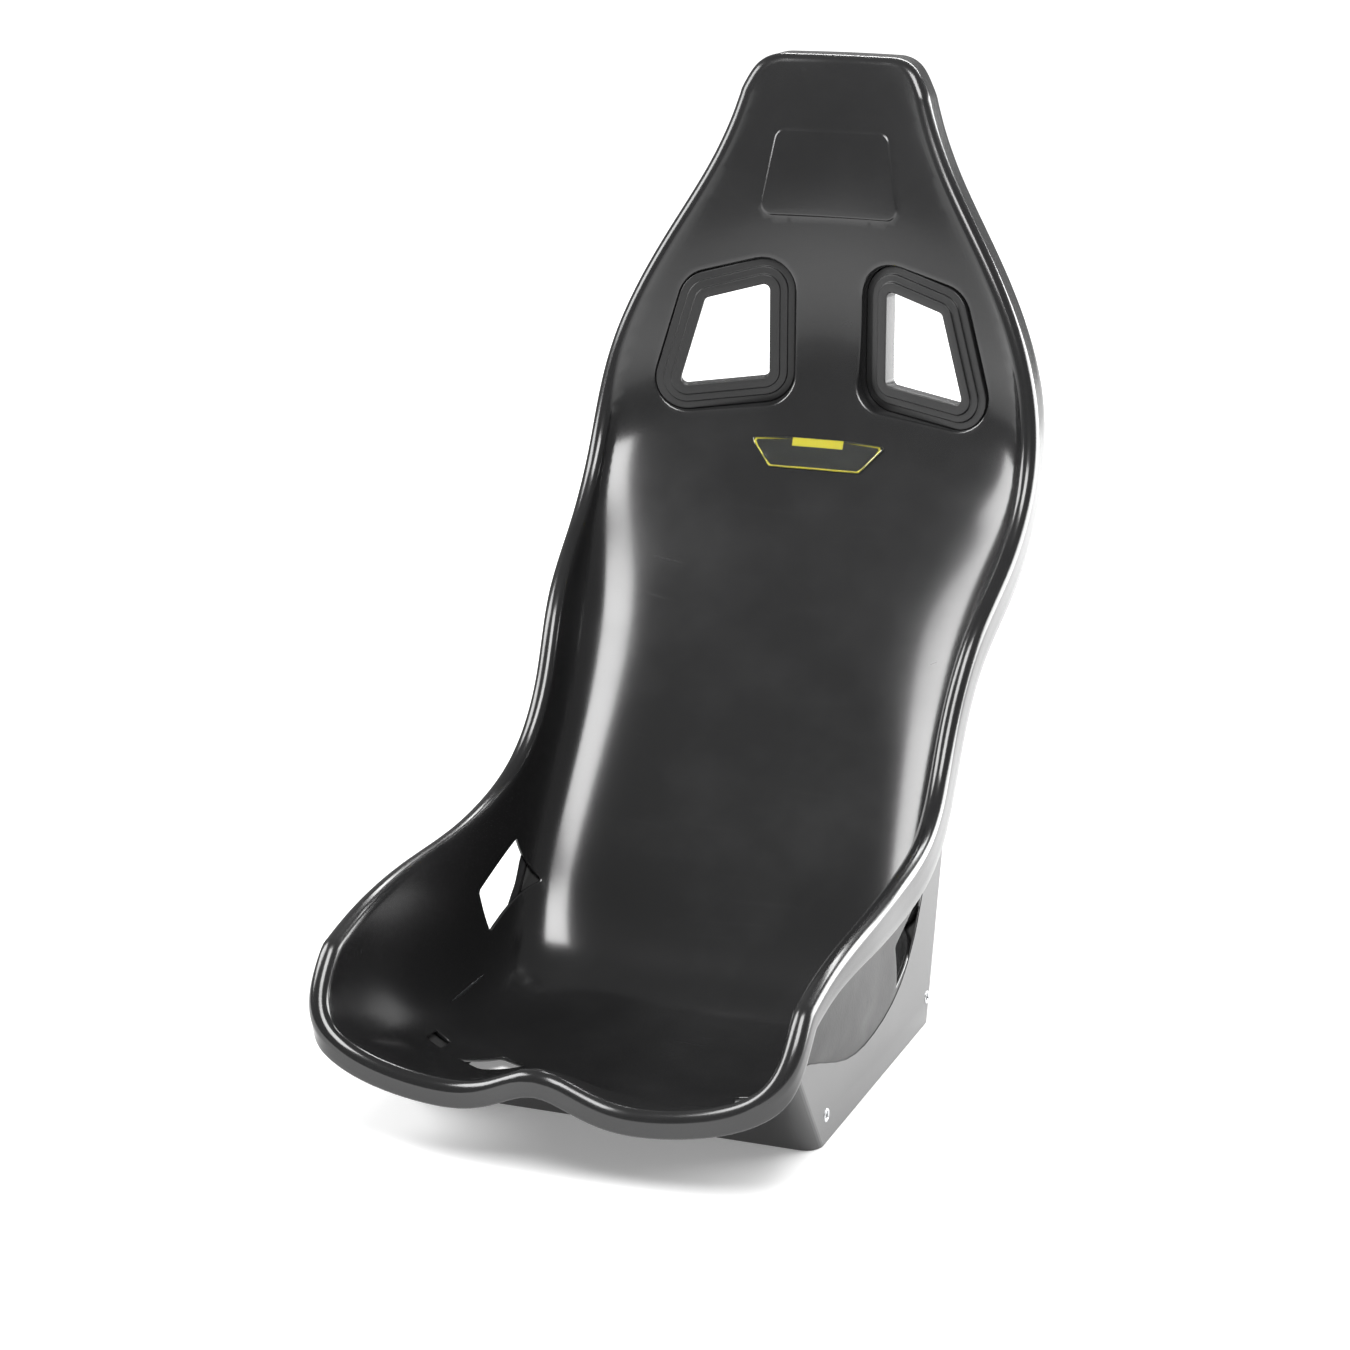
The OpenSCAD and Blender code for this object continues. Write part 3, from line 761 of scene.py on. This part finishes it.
def both_sides(rings):
    """The rings of the right side and their mirror images."""
    yield rings, False
    yield [mirrored(r) for r in rings], True


for name, (corners, radius, area) in HOLES.items():
    for rings, _ in both_sides(hole_rings[name]):
        drop = LIP * MM * (1 - np.cos(lip_turn))
        upper = [bowl(*r.T) - facing(*r.T) * d for r, d in zip(rings, drop)]
        lower = [bowl(*r.T) - facing(*r.T) * (SKIN - d) for r, d in zip(rings, drop)]
        seat.strips(upper + lower[::-1])


def from_local(outline, depth, left):
    """A ring of the slot's own flat view at a depth along the slot's axis."""
    p = SLOT_AT + outline[:, :1] * SLOT_X + outline[:, 1:] * [0, 0, 1] + np.reshape(depth, (-1, 1)) * SLOT_Y
    p = placed(p)
    return (p * [-1, 1, 1])[::-1] if left else p


BACK_EDGE = 1.5
floor_turn = np.linspace(0, math.pi / 2, 4)
SIDE_AXES = {False: SLOT_Y, True: SLOT_Y * [-1, 1, 1]}


def sunk_rings(rings, left, under, edge, depth, flat_grows):
    """Rings from the skin round a softened mouth, down to a flat floor and in to the opening."""
    result = []
    for ring, a in zip(rings, pocket_turn):
        start = bowl(*ring.T) - facing(*ring.T) * under
        result.append(start + SIDE_AXES[left] * POCKET_ROUND * MM * (1 - math.cos(a)))
    for a in floor_turn:
        result.append(from_local(slot_outline(edge - BACK_EDGE * (1 - math.cos(a))),
                                 depth - BACK_EDGE * (1 - math.sin(a)), left))
    return result + [from_local(slot_outline(g), depth, left) for g in (*flat_grows, THROUGH + 0.5)]


for rings, left in both_sides(pocket_rings):
    hole_wall = [from_local(slot_outline(THROUGH), d, left) for d in (POCKET_DEPTH + 0.5, BOSS_DEPTH - 0.5)]
    seat.strips(sunk_rings(rings, left, 0, POCKET_EDGE, POCKET_DEPTH, (16.0, 8.0)) + hole_wall)
for rings, left in both_sides(boss_rings):
    hole_end = [from_local(slot_outline(THROUGH), BOSS_DEPTH - 0.5, left)]
    seat.strips(sunk_rings(rings, left, SKIN, BOSS_EDGE, BOSS_DEPTH, (18.0, 9.0)) + hole_end, 1)
moulding = seat.piece("seat_skin", [gelcoat, laminate], sharp=50)
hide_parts("seat_moulding")
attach(moulding, "root")

# %% [markdown]
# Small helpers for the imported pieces
#
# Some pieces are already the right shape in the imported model. A copy is merged along its doubled
# lines, its sharp edges are marked, and a thin bevel takes the knife edge off, as trimming does.

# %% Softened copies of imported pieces


def softened(node_name, name, material, slot_name, bevel=0.0006, angle=32, segments=3):
    """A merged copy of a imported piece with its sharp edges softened."""
    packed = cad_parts[node_name]
    mesh = packed.data.copy()
    mesh.name = name
    mesh.materials.clear()
    mesh.materials.append(material)
    shape = bmesh.new()
    shape.from_mesh(mesh)
    for face in shape.faces:
        face.material_index = 0
    bmesh.ops.remove_doubles(shape, verts=shape.verts, dist=WELD)
    bmesh.ops.dissolve_limit(shape, angle_limit=math.radians(0.6), verts=shape.verts, edges=shape.edges)
    bmesh.ops.recalc_face_normals(shape, faces=shape.faces)
    shape.to_mesh(mesh)
    shape.free()
    mesh.shade_smooth()
    mesh.set_sharp_from_angle(angle=math.radians(angle))
    made = bpy.data.objects.new(name, mesh)
    bpy.context.collection.objects.link(made)
    if bevel:
        edge = made.modifiers.new("edge", "BEVEL")
        edge.width = bevel
        edge.segments = segments
        edge.limit_method = "ANGLE"
        edge.angle_limit = math.radians(angle)
        edge.harden_normals = True
    return kept(made, slot_name, node_name)


def kept(piece, slot_name, *nodes):
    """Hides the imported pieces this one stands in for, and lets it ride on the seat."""
    if nodes:
        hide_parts(*nodes)
    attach(piece, "root")
    return piece


foot = softened("base_moulding", "foot_skin", foot_coat, "gelcoat", 0.0012)
softened("bond_line", "glue_line", adhesive, "adhesive", 0)
for side in ("left", "right"):
    softened("foot_core_" + side, "core_" + side, foam, "core", 0)
    softened("mount_plate_" + side, "plate_" + side, plate_steel, "plate_steel", 0.0005)
print("foot faces:", len(foot.data.polygons))

# %% [markdown]
# Frames round the belt slots
#
# Each slot is finished with a moulded frame of three stepped ridges, clamped by a ring from behind.
# Both are one profile drawn round the slot's outline, so one Geometry Nodes tree makes them: it
# takes an outline and a profile and sweeps one along the other.

# %% Sweep tree
SOCKETS = {"Geometry": "NodeSocketGeometry", "Profile": "NodeSocketObject", "Screw": "NodeSocketObject",
           "Seed": "NodeSocketInt", "Finish": "NodeSocketMaterial"}


def new_tree(name, *labels):
    """An empty Geometry Nodes tree with named inputs and one geometry output."""
    tree = bpy.data.node_groups.new(name, "GeometryNodeTree")
    for label in ("Geometry", *labels):
        tree.interface.new_socket(label, in_out="INPUT", socket_type=SOCKETS[label])
    tree.interface.new_socket("Geometry", in_out="OUTPUT", socket_type=SOCKETS["Geometry"])
    return tree, tree.nodes.new("NodeGroupInput"), tree.nodes.new("NodeGroupOutput")


def wire(tree, *pairs):
    for start, end in pairs:
        tree.links.new(start, end)


sweep_tree, given, given_out = new_tree("profile_round_outline", "Profile", "Finish")
path_curve, profile_curve = (sweep_tree.nodes.new("GeometryNodeMeshToCurve") for _ in range(2))
profile_info = sweep_tree.nodes.new("GeometryNodeObjectInfo")
upright = sweep_tree.nodes.new("GeometryNodeSetCurveNormal")
upright.mode = "Z_UP"
swept = sweep_tree.nodes.new("GeometryNodeCurveToMesh")
made_real = sweep_tree.nodes.new("GeometryNodeRealizeInstances")
painted = sweep_tree.nodes.new("GeometryNodeSetMaterial")
wire(sweep_tree,
     (given.outputs["Geometry"], path_curve.inputs[0]),
     (path_curve.outputs[0], upright.inputs[0]),
     (given.outputs["Profile"], profile_info.inputs["Object"]),
     (profile_info.outputs["Geometry"], profile_curve.inputs[0]),
     (upright.outputs[0], swept.inputs["Curve"]),
     (profile_curve.outputs[0], swept.inputs["Profile Curve"]),
     (swept.outputs[0], made_real.inputs[0]),
     (made_real.outputs[0], painted.inputs[0]),
     (given.outputs["Finish"], painted.inputs["Material"]),
     (painted.outputs[0], given_out.inputs["Geometry"]))


def loop_object(name, points, z=0.0):
    """A closed line of points as a bare mesh."""
    mesh = bpy.data.meshes.new(name)
    n = len(points)
    mesh.from_pydata([(p[0] * MM, p[1] * MM, z) for p in points], [(k, (k + 1) % n) for k in range(n)], [])
    made = bpy.data.objects.new(name, mesh)
    bpy.context.collection.objects.link(made)
    return made


def grown(base, tree, values):
    """Runs a tree on an object once and gives the plain mesh it makes."""
    run_tree = base.modifiers.new("make", "NODES")
    run_tree.node_group = tree
    for item in tree.interface.items_tree:
        if item.in_out == "INPUT" and item.name in values:
            run_tree[item.identifier] = values[item.name]
    bpy.context.view_layer.update()
    mesh = bpy.data.meshes.new_from_object(base.evaluated_get(bpy.context.evaluated_depsgraph_get()))
    base.modifiers.remove(run_tree)
    return mesh


def to_slot_axes(left):
    """From the flat outline, with depth along -z, to the slot's own place on the seat."""
    axis_x, axis_y = Vector(SLOT_X), Vector(SLOT_Y)
    origin = placed(SLOT_AT)
    if left:
        axis_x, axis_y = axis_x * Vector((1, -1, 1)), axis_y * Vector((-1, 1, 1))
        origin = origin * [-1, 1, 1]
    matrix = Matrix((axis_x, (0, 0, 1), -axis_y)).transposed().to_4x4()
    matrix.translation = origin
    return matrix


def finished_mesh(name, mesh, matrix, sharp=35):
    """Places a made mesh, seals it and turns its faces outward."""
    mesh.name = name
    mesh.transform(matrix)
    shape = bmesh.new()
    shape.from_mesh(mesh)
    bmesh.ops.remove_doubles(shape, verts=shape.verts, dist=WELD)
    bmesh.ops.recalc_face_normals(shape, faces=shape.faces)
    if shape.calc_volume(signed=True) < 0:
        bmesh.ops.reverse_faces(shape, faces=shape.faces)
    open_edges = sum(1 for e in shape.edges if len(e.link_faces) != 2)
    shape.to_mesh(mesh)
    shape.free()
    mesh.shade_smooth()
    mesh.set_sharp_from_angle(angle=math.radians(sharp))
    made = bpy.data.objects.new(name, mesh)
    bpy.context.collection.objects.link(made)
    print(name, "faces:", len(mesh.polygons), " open edges:", open_edges)
    return made


def eased(points, radii, arc=4):
    """A closed profile with each corner rounded by its own radius."""
    points = [np.array(p, float) for p in points]
    result = []
    for i, p in enumerate(points):
        before, after = unit(points[i - 1] - p), unit(points[(i + 1) % len(points)] - p)
        r = radii[i] if isinstance(radii, (list, tuple)) else radii
        if r == 0:
            result.append(p)
            continue
        half = math.acos(np.clip(before @ after, -1, 1)) / 2
        back = min(r / math.tan(half), 0.45 * min(np.linalg.norm(points[i - 1] - p),
                                                  np.linalg.norm(points[(i + 1) % len(points)] - p)))
        start, end = p + before * back, p + after * back
        for k in range(arc + 1):
            s = k / arc
            result.append((1 - s) ** 2 * start + 2 * s * (1 - s) * p + s**2 * end)
    return np.array(result)


# %% Slot frames
# grow from the slot's outline, and depth behind the frame's front
STEP_BACK = 2.4
FRAME_PROFILE = eased([(0, 14.8), (0, 0), (10, 0), (10, STEP_BACK), (17.5, STEP_BACK), (17.5, 2 * STEP_BACK),
                       (25, 2 * STEP_BACK), (25, 10), (1.5, 10), (1.5, 14.8)],
                      [0.2, 1.4, 1.6, 0.9, 1.4, 0.9, 1.2, 0.3, 0.2, 0.2])
RING_PROFILE = eased([(2.2, 19.8), (2.2, 14.8), (21, 14.8), (21, 19.8)], [0.8, 0.2, 0.3, 1.2])
frame_profile = loop_object("frame_profile", FRAME_PROFILE)
ring_profile = loop_object("ring_profile", RING_PROFILE)
for side in ("right", "left"):
    left = side == "left"
    corners = SLOT * [-1, 1] if left else SLOT
    outline = loop_object("slot_outline", rounded(corners, 6, 0, arc=12, straight=30.0))
    for name, profile, node_name in (("slot_frame_", frame_profile, "slot_bezel_"),
                                     ("slot_clamp_", ring_profile, "slot_ring_")):
        mesh = grown(outline, sweep_tree, {"Profile": profile, "Finish": frame_plastic})
        kept(finished_mesh(name + side, mesh, to_slot_axes(left)), "frame_plastic", node_name + side)
    bpy.data.objects.remove(outline)
bpy.data.objects.remove(frame_profile)
bpy.data.objects.remove(ring_profile)

# %% [markdown]
# Screws behind the slots
#
# Four button head screws hold each clamp ring. One head is turned as a profile, with a hex socket
# sunk in it, and a Geometry Nodes tree sets a copy on each fixing point with its own small turn, as
# hand tightened screws always have.

# %% Screw tree and one screw head
screw_tree, s_in, s_out = new_tree("screws_on_points", "Screw", "Seed", "Finish")
s_info = screw_tree.nodes.new("GeometryNodeObjectInfo")
s_set = screw_tree.nodes.new("GeometryNodeInstanceOnPoints")
s_turn = screw_tree.nodes.new("ShaderNodeCombineXYZ")
s_random = screw_tree.nodes.new("FunctionNodeRandomValue")
s_real = screw_tree.nodes.new("GeometryNodeRealizeInstances")
s_paint = screw_tree.nodes.new("GeometryNodeSetMaterial")
s_random.data_type = "FLOAT"
s_random.inputs[3].default_value = math.radians(60)
wire(screw_tree,
     (s_in.outputs["Geometry"], s_set.inputs["Points"]),
     (s_in.outputs["Screw"], s_info.inputs["Object"]),
     (s_info.outputs["Geometry"], s_set.inputs["Instance"]),
     (s_in.outputs["Seed"], s_random.inputs["Seed"]),
     (s_random.outputs[1], s_turn.inputs["Z"]),
     (s_turn.outputs[0], s_set.inputs["Rotation"]),
     (s_set.outputs[0], s_real.inputs[0]),
     (s_real.outputs[0], s_paint.inputs[0]),
     (s_in.outputs["Finish"], s_paint.inputs["Material"]),
     (s_paint.outputs[0], s_out.inputs["Geometry"]))


def turned_ring(shape, r, z, sides):
    """One ring of a turned piece; r and z in mm."""
    angles = [2 * math.pi * k / sides for k in range(sides)]
    return [shape.verts.new((r * MM * math.cos(a), r * MM * math.sin(a), z * MM)) for a in angles]


def lathe(name, profile, sides=32, socket=None):
    """A closed turned piece about z; profile rows are radius and height in mm, from axis to axis.

    With socket, the first row is the mouth of a six sided hole of that depth."""
    shape = bmesh.new()
    rings = []
    for r, z in profile:
        if r == 0:
            rings.append([shape.verts.new((0, 0, z * MM))])
        else:
            rings.append(turned_ring(shape, r, z, sides))
    if socket:
        size, depth = socket
        top = profile[0][1]
        for k, vert in enumerate(rings[0]):
            a = 2 * math.pi * k / sides
            sixth = (a + math.pi / 6) % (math.pi / 3) - math.pi / 6
            r = size / math.cos(sixth)
            vert.co = (r * MM * math.cos(a), r * MM * math.sin(a), top * MM)
        deep = [shape.verts.new((v.co.x, v.co.y, (top - depth) * MM)) for v in rings[0]]
        rings = [[shape.verts.new((0, 0, (top - depth - 0.3) * MM))], deep] + rings
    for upper, lower in zip(rings, rings[1:]):
        for k in range(sides):
            n = (k + 1) % sides
            if len(upper) == 1:
                shape.faces.new((upper[0], lower[k], lower[n]))
            elif len(lower) == 1:
                shape.faces.new((upper[k], upper[n], lower[0]))
            else:
                shape.faces.new((upper[k], upper[n], lower[n], lower[k]))
    bmesh.ops.recalc_face_normals(shape, faces=shape.faces)
    mesh = bpy.data.meshes.new(name)
    shape.to_mesh(mesh)
    shape.free()
    return mesh


SCREW_R = 3.2
screw_low, screw_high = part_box("bezel_screws_right")
SCREW_POINTS = [(-36 - 10.5, 5), (-6, 46 + 10.5), (41 + 10.5, -4), (6, -45 - 10.5)]
head_top = 2.2
head_profile = [(1.2, head_top), (1.9, head_top), (2.5, head_top - 0.3), (2.95, head_top - 0.9),
                (SCREW_R, head_top - 1.6), (SCREW_R, 0.05), (SCREW_R - 0.1, -0.25), (0, -0.25)]
head_mesh = lathe("screw_head", head_profile, 36, socket=(1.1, 1.3))
head_object = bpy.data.objects.new("screw_head", head_mesh)
bpy.context.collection.objects.link(head_object)
print("screws box, mm:", [(round(a * 1000, 1), round(b * 1000, 1)) for a, b in zip(screw_low, screw_high)])

# %% Screws on both sides
RING_BACK = 19.8
for side in ("right", "left"):
    left = side == "left"
    points = np.array(SCREW_POINTS, float) * ([-1, 1] if left else [1, 1])
    base = loop_object("screw_places", points, 0.0)
    mesh = grown(base, screw_tree, {"Screw": head_object, "Seed": 3 + left, "Finish": black_screw})
    bpy.data.objects.remove(base)
    mesh.transform(Matrix.Translation((0, 0, RING_BACK * MM)))
    mesh.transform(Matrix.Diagonal((1, 1, -1, 1)))
    mesh.flip_normals()
    screws = finished_mesh("slot_screws_" + side, mesh, to_slot_axes(left), 30)
    kept(screws, "screw_steel", "bezel_screws_" + side)
bpy.data.objects.remove(head_object)

# %% [markdown]
# Bushes in the foot
#
# The side bolts screw into steel bushes moulded into the foot. They are turned parts: a small
# chamfer at the mouth and a thread inside, here as shallow rings.

# %% Threaded bushes
BUSH_R = 6.2
THREAD_R = 3.4
bush_low, bush_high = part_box("bush_right_front")
bush_len = (bush_high[0] - bush_low[0]) / MM
THREAD_PITCH = 1.25
thread = [(THREAD_R + 0.75, 0)]
depth = 0.7
while depth < bush_len - 1.5:
    thread += [(THREAD_R, -depth), (THREAD_R + 0.35, -depth - THREAD_PITCH / 2)]
    depth += THREAD_PITCH
thread += [(THREAD_R, -bush_len)]
outer_side = [(BUSH_R, -bush_len), (BUSH_R, -0.45), (BUSH_R - 0.45, 0)]
bush_profile = thread + outer_side


def bush_mesh(name):
    """A turned bush along z with its mouth at zero, open through."""
    shape = bmesh.new()
    sides = 40
    rings = [turned_ring(shape, r, z, sides) for r, z in bush_profile]
    for upper, lower in zip(rings, rings[1:] + rings[:1]):
        for k in range(sides):
            n = (k + 1) % sides
            shape.faces.new((upper[k], upper[n], lower[n], lower[k]))
    mesh = bpy.data.meshes.new(name)
    shape.to_mesh(mesh)
    shape.free()
    mesh.materials.append(zinc)
    return mesh


for side, sign in (("right", 1), ("left", -1)):
    for end in ("front", "rear"):
        node_name = "bush_%s_%s" % (side, end)
        low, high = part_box(node_name)
        mouth_x = high[0] if sign > 0 else low[0]
        place = Matrix.Translation((mouth_x, (low[1] + high[1]) / 2, (low[2] + high[2]) / 2))
        turn = Matrix.Rotation(sign * math.pi / 2, 4, "Y")
        kept(finished_mesh("bush_seat_%s_%s" % (side, end), bush_mesh("bush"), place @ turn, 30),
             "bush_steel", node_name)

# %% [markdown]
# The badge
#
# A printed plate under a clear resin dome is set on the chest. It is bent to the skin it sticks to,
# so both pieces are laid out flat and carried onto the surface. It carries only a plain border and a
# blank tab.

# %% Badge plate and dome


def conformed(grow_low, grow_high, height_low, height_high, round_top):
    """Layered rings and a filled middle, seen from the front, carried onto the skin."""
    made = Maker()
    turn = np.linspace(0, math.pi / 2, 5 if round_top else 2)
    levels = []
    for a in turn:
        levels.append((grow_high - round_top * (1 - math.cos(a)), height_high - round_top * (1 - math.sin(a))))
    rings = [(grow_low, height_low)] + levels
    outlines = [(rounded(BADGE, 2.5, g, arc=5, straight=4.0), h) for g, h in rings]
    area = (from_front, (8.6, 12.2), (-0.75, 0.75))

    def lifted(flat, height):
        tv = on_skin(flat, *area)
        return bowl(*tv.T) + facing(*tv.T) * height * MM, tv

    placed_rings = [lifted(*o)[0] for o in outlines]
    made.strips(placed_rings)
    for (flat, height), face_turn in ((outlines[-1], False), (outlines[0], True)):
        xs = np.arange(-72, 72.1, 4.0)
        zs = np.arange(BADGE[:, 1].min() - 2, BADGE[:, 1].max() + 2.1, 4.0)
        gx, gz = np.meshgrid(xs, zs)
        grid = np.stack([gx.ravel(), gz.ravel()], 1)
        small = flat + (flat.mean(0) - flat) * 0.04
        grid = grid[inside(grid, small)]
        both = np.vstack([flat, grid])
        n = len(flat)
        border = [(k, (k + 1) % n) for k in range(n)]
        result = delaunay_2d_cdt([Vector(p) for p in both], border, [], 1, 1e-5, True)
        out_pts = np.array([tuple(p) for p in result[0]])
        tri = np.array([tuple(f) for f in result[2]])
        pts, _ = lifted(out_pts, height)
        made.add(pts, tri[:, ::-1] if face_turn else tri)
    return made


def border_attribute(piece):
    """Distance in from the outline and height up the badge, kept on the mesh for its finish."""
    points = drawn(np.array([v.co for v in piece.data.vertices]))[:, [0, 2]]
    edge = rounded(BADGE, 2.5, 0, arc=5, straight=1.0)
    gap = np.array([np.hypot(*(edge - p).T).min() for p in points])
    gap *= np.where(inside(points, edge), 1, -1)
    layer = piece.data.attributes.new("from_edge", "FLOAT", "POINT")
    layer.data.foreach_set("value", gap)
    rise = piece.data.attributes.new("up_badge", "FLOAT", "POINT")
    rise.data.foreach_set("value", (points[:, 1] - BADGE[:, 1].min()) / BADGE_H)
    return piece


badge_print = finish("badge_print", (0.012, 0.014, 0.012), 0.3, 0.08, (300.0, 0.00001))
tree = badge_print.node_tree
shader = tree.nodes["Principled BSDF"]
dark_print = shader.inputs["Base Color"].links[0].from_socket
where = tree.nodes.new("ShaderNodeTexCoord")
split = tree.nodes.new("ShaderNodeSeparateXYZ")
tree.links.new(where.outputs["Object"], split.inputs[0])
edge_gap = node(tree, "ShaderNodeAttribute", attribute_name="from_edge").outputs["Fac"]
up_badge = node(tree, "ShaderNodeAttribute", attribute_name="up_badge").outputs["Fac"]
line = maths(tree, "MULTIPLY", between(tree, edge_gap, 0.9, 1.2), between(tree, edge_gap, 2.5, 2.2))
side_x = maths(tree, "ABSOLUTE", split.outputs["X"], 0)
low_part = between(tree, up_badge, 0.93, 0.88)
line = maths(tree, "MULTIPLY", line, low_part)
tab = maths(tree, "MULTIPLY", between(tree, side_x, 0.0262, 0.0255), between(tree, up_badge, 0.72, 0.735))
tab = maths(tree, "MULTIPLY", tab, between(tree, edge_gap, 0.3, 0.5))
yellow = tree.nodes.new("ShaderNodeMix")
yellow.data_type = "RGBA"
yellow.inputs[7].default_value = (0.62, 0.56, 0.02, 1)
tree.links.new(maths(tree, "MAXIMUM", line, tab), yellow.inputs[0])
tree.links.new(dark_print, yellow.inputs[6])
tree.links.new(yellow.outputs[2], shader.inputs["Base Color"])

plate_piece = conformed(0, 0, 0.1, 1.1, 0).piece("badge_card", [badge_print], sharp=40)
kept(border_attribute(plate_piece), "badge_print", "badge_plate")
dome_piece = conformed(-0.6, -0.6, 1.25, 2.85, 1.2).piece("badge_resin", [resin], sharp=40)
kept(dome_piece, "clear_resin", "badge_dome")

# %% [markdown]
# Floor, light and camera
#
# A pale floor, one soft light high on each side of the front, a tall glow to the right and a thin
# one behind the head, as a product studio would set for glossy black. The camera stands to the
# right of the seat, a little above it.

# %% Floor
floor_mesh = bpy.data.meshes.new("floor")
FLOOR = 9.0
floor_corners = [(-FLOOR, -FLOOR, 0), (FLOOR, -FLOOR, 0), (FLOOR, FLOOR, 0), (-FLOOR, FLOOR, 0)]
floor_mesh.from_pydata(floor_corners, [], [(0, 1, 2, 3)])
floor = bpy.data.objects.new("floor", floor_mesh)
bpy.context.collection.objects.link(floor)
FLOOR_DROP = -0.0005
floor_mesh.transform(Matrix.Translation((0, 0, FLOOR_DROP)))
floor_finish = bpy.data.materials.new("floor")
floor_finish.use_nodes = True
floor_shader = floor_finish.node_tree.nodes["Principled BSDF"]
floor_shader.inputs["Base Color"].default_value = (0.9, 0.9, 0.9, 1)
floor_shader.inputs["Roughness"].default_value = 0.9
floor_shader.inputs["Specular IOR Level"].default_value = 0.0
floor_shader.inputs["Emission Color"].default_value = (1, 1, 1, 1)
floor_tree = floor_finish.node_tree
# Painted light: the floor glows by itself, faintly within 0.55 m of the seat and at full strength from 1.5 m
# out, so the far floor is pure white while the real contact shadow near the seat stays
floor_reach = floor_tree.nodes.new("ShaderNodeVectorMath")
floor_reach.operation = "LENGTH"
floor_where = floor_tree.nodes.new("ShaderNodeTexCoord").outputs["Object"]
floor_tree.links.new(floor_where, floor_reach.inputs[0])
floor_glow = between(floor_tree, floor_reach.outputs["Value"], 0.55, 1.5, 0.25, 1.0)
floor_tree.links.new(floor_glow, floor_shader.inputs["Emission Strength"])
floor_mesh.materials.append(floor_finish)

# %% Lights
scene = bpy.context.scene
scene.view_settings.view_transform = "Standard"
world = bpy.data.worlds.new("studio")
scene.world = world
world.use_nodes = True
sky = world.node_tree
back = sky.nodes["Background"]
back.inputs["Color"].default_value = (1, 1, 1, 1)
rays = sky.nodes.new("ShaderNodeLightPath")
ROOM = 0.26
level = sky.nodes.new("ShaderNodeMapRange")
level.inputs["To Min"].default_value = ROOM
level.inputs["To Max"].default_value = 1.2
sky.links.new(rays.outputs["Is Camera Ray"], level.inputs["Value"])
sky.links.new(level.outputs["Result"], back.inputs["Strength"])
AIM = Vector((0, 0.3, 0.45))


def soft_light(name, way, far, width, height, watts):
    lamp = bpy.data.lights.new(name, "AREA")
    lamp.shape = "RECTANGLE"
    lamp.size, lamp.size_y = width, height
    lamp.energy = watts
    lamp_object = bpy.data.objects.new(name, lamp)
    lamp_object.location = AIM + Vector(way).normalized() * far
    lamp_object.rotation_euler = (AIM - lamp_object.location).to_track_quat("-Z", "Y").to_euler()
    lamp_object.visible_camera = False
    bpy.context.collection.objects.link(lamp_object)
    return lamp_object


soft_light("front_right_box", (0.22, -0.66, 0.72), 2.4, 1.1, 1.2, 60)
soft_light("left_box", (-0.78, -0.34, 0.5), 2.4, 1.2, 1.4, 60)
soft_light("right_wall", (1.0, 0.75, 0.05), 3.2, 3.0, 2.2, 260)
soft_light("back_strip", (0.1, 0.8, 0.75), 2.6, 2.4, 0.4, 45)

# %% Camera
camera_data = bpy.data.cameras.new("camera")
camera_data.lens = 92.24
camera_data.sensor_width = 36
camera_data.clip_end = 60
camera = bpy.data.objects.new("camera", camera_data)
camera.location = (1.0488, -2.8023, 1.2064)
camera.rotation_euler = (math.radians(73.7), 0, math.radians(21.0))
bpy.context.collection.objects.link(camera)
scene.camera = camera

# %% Update the scene
bpy.context.view_layer.update()
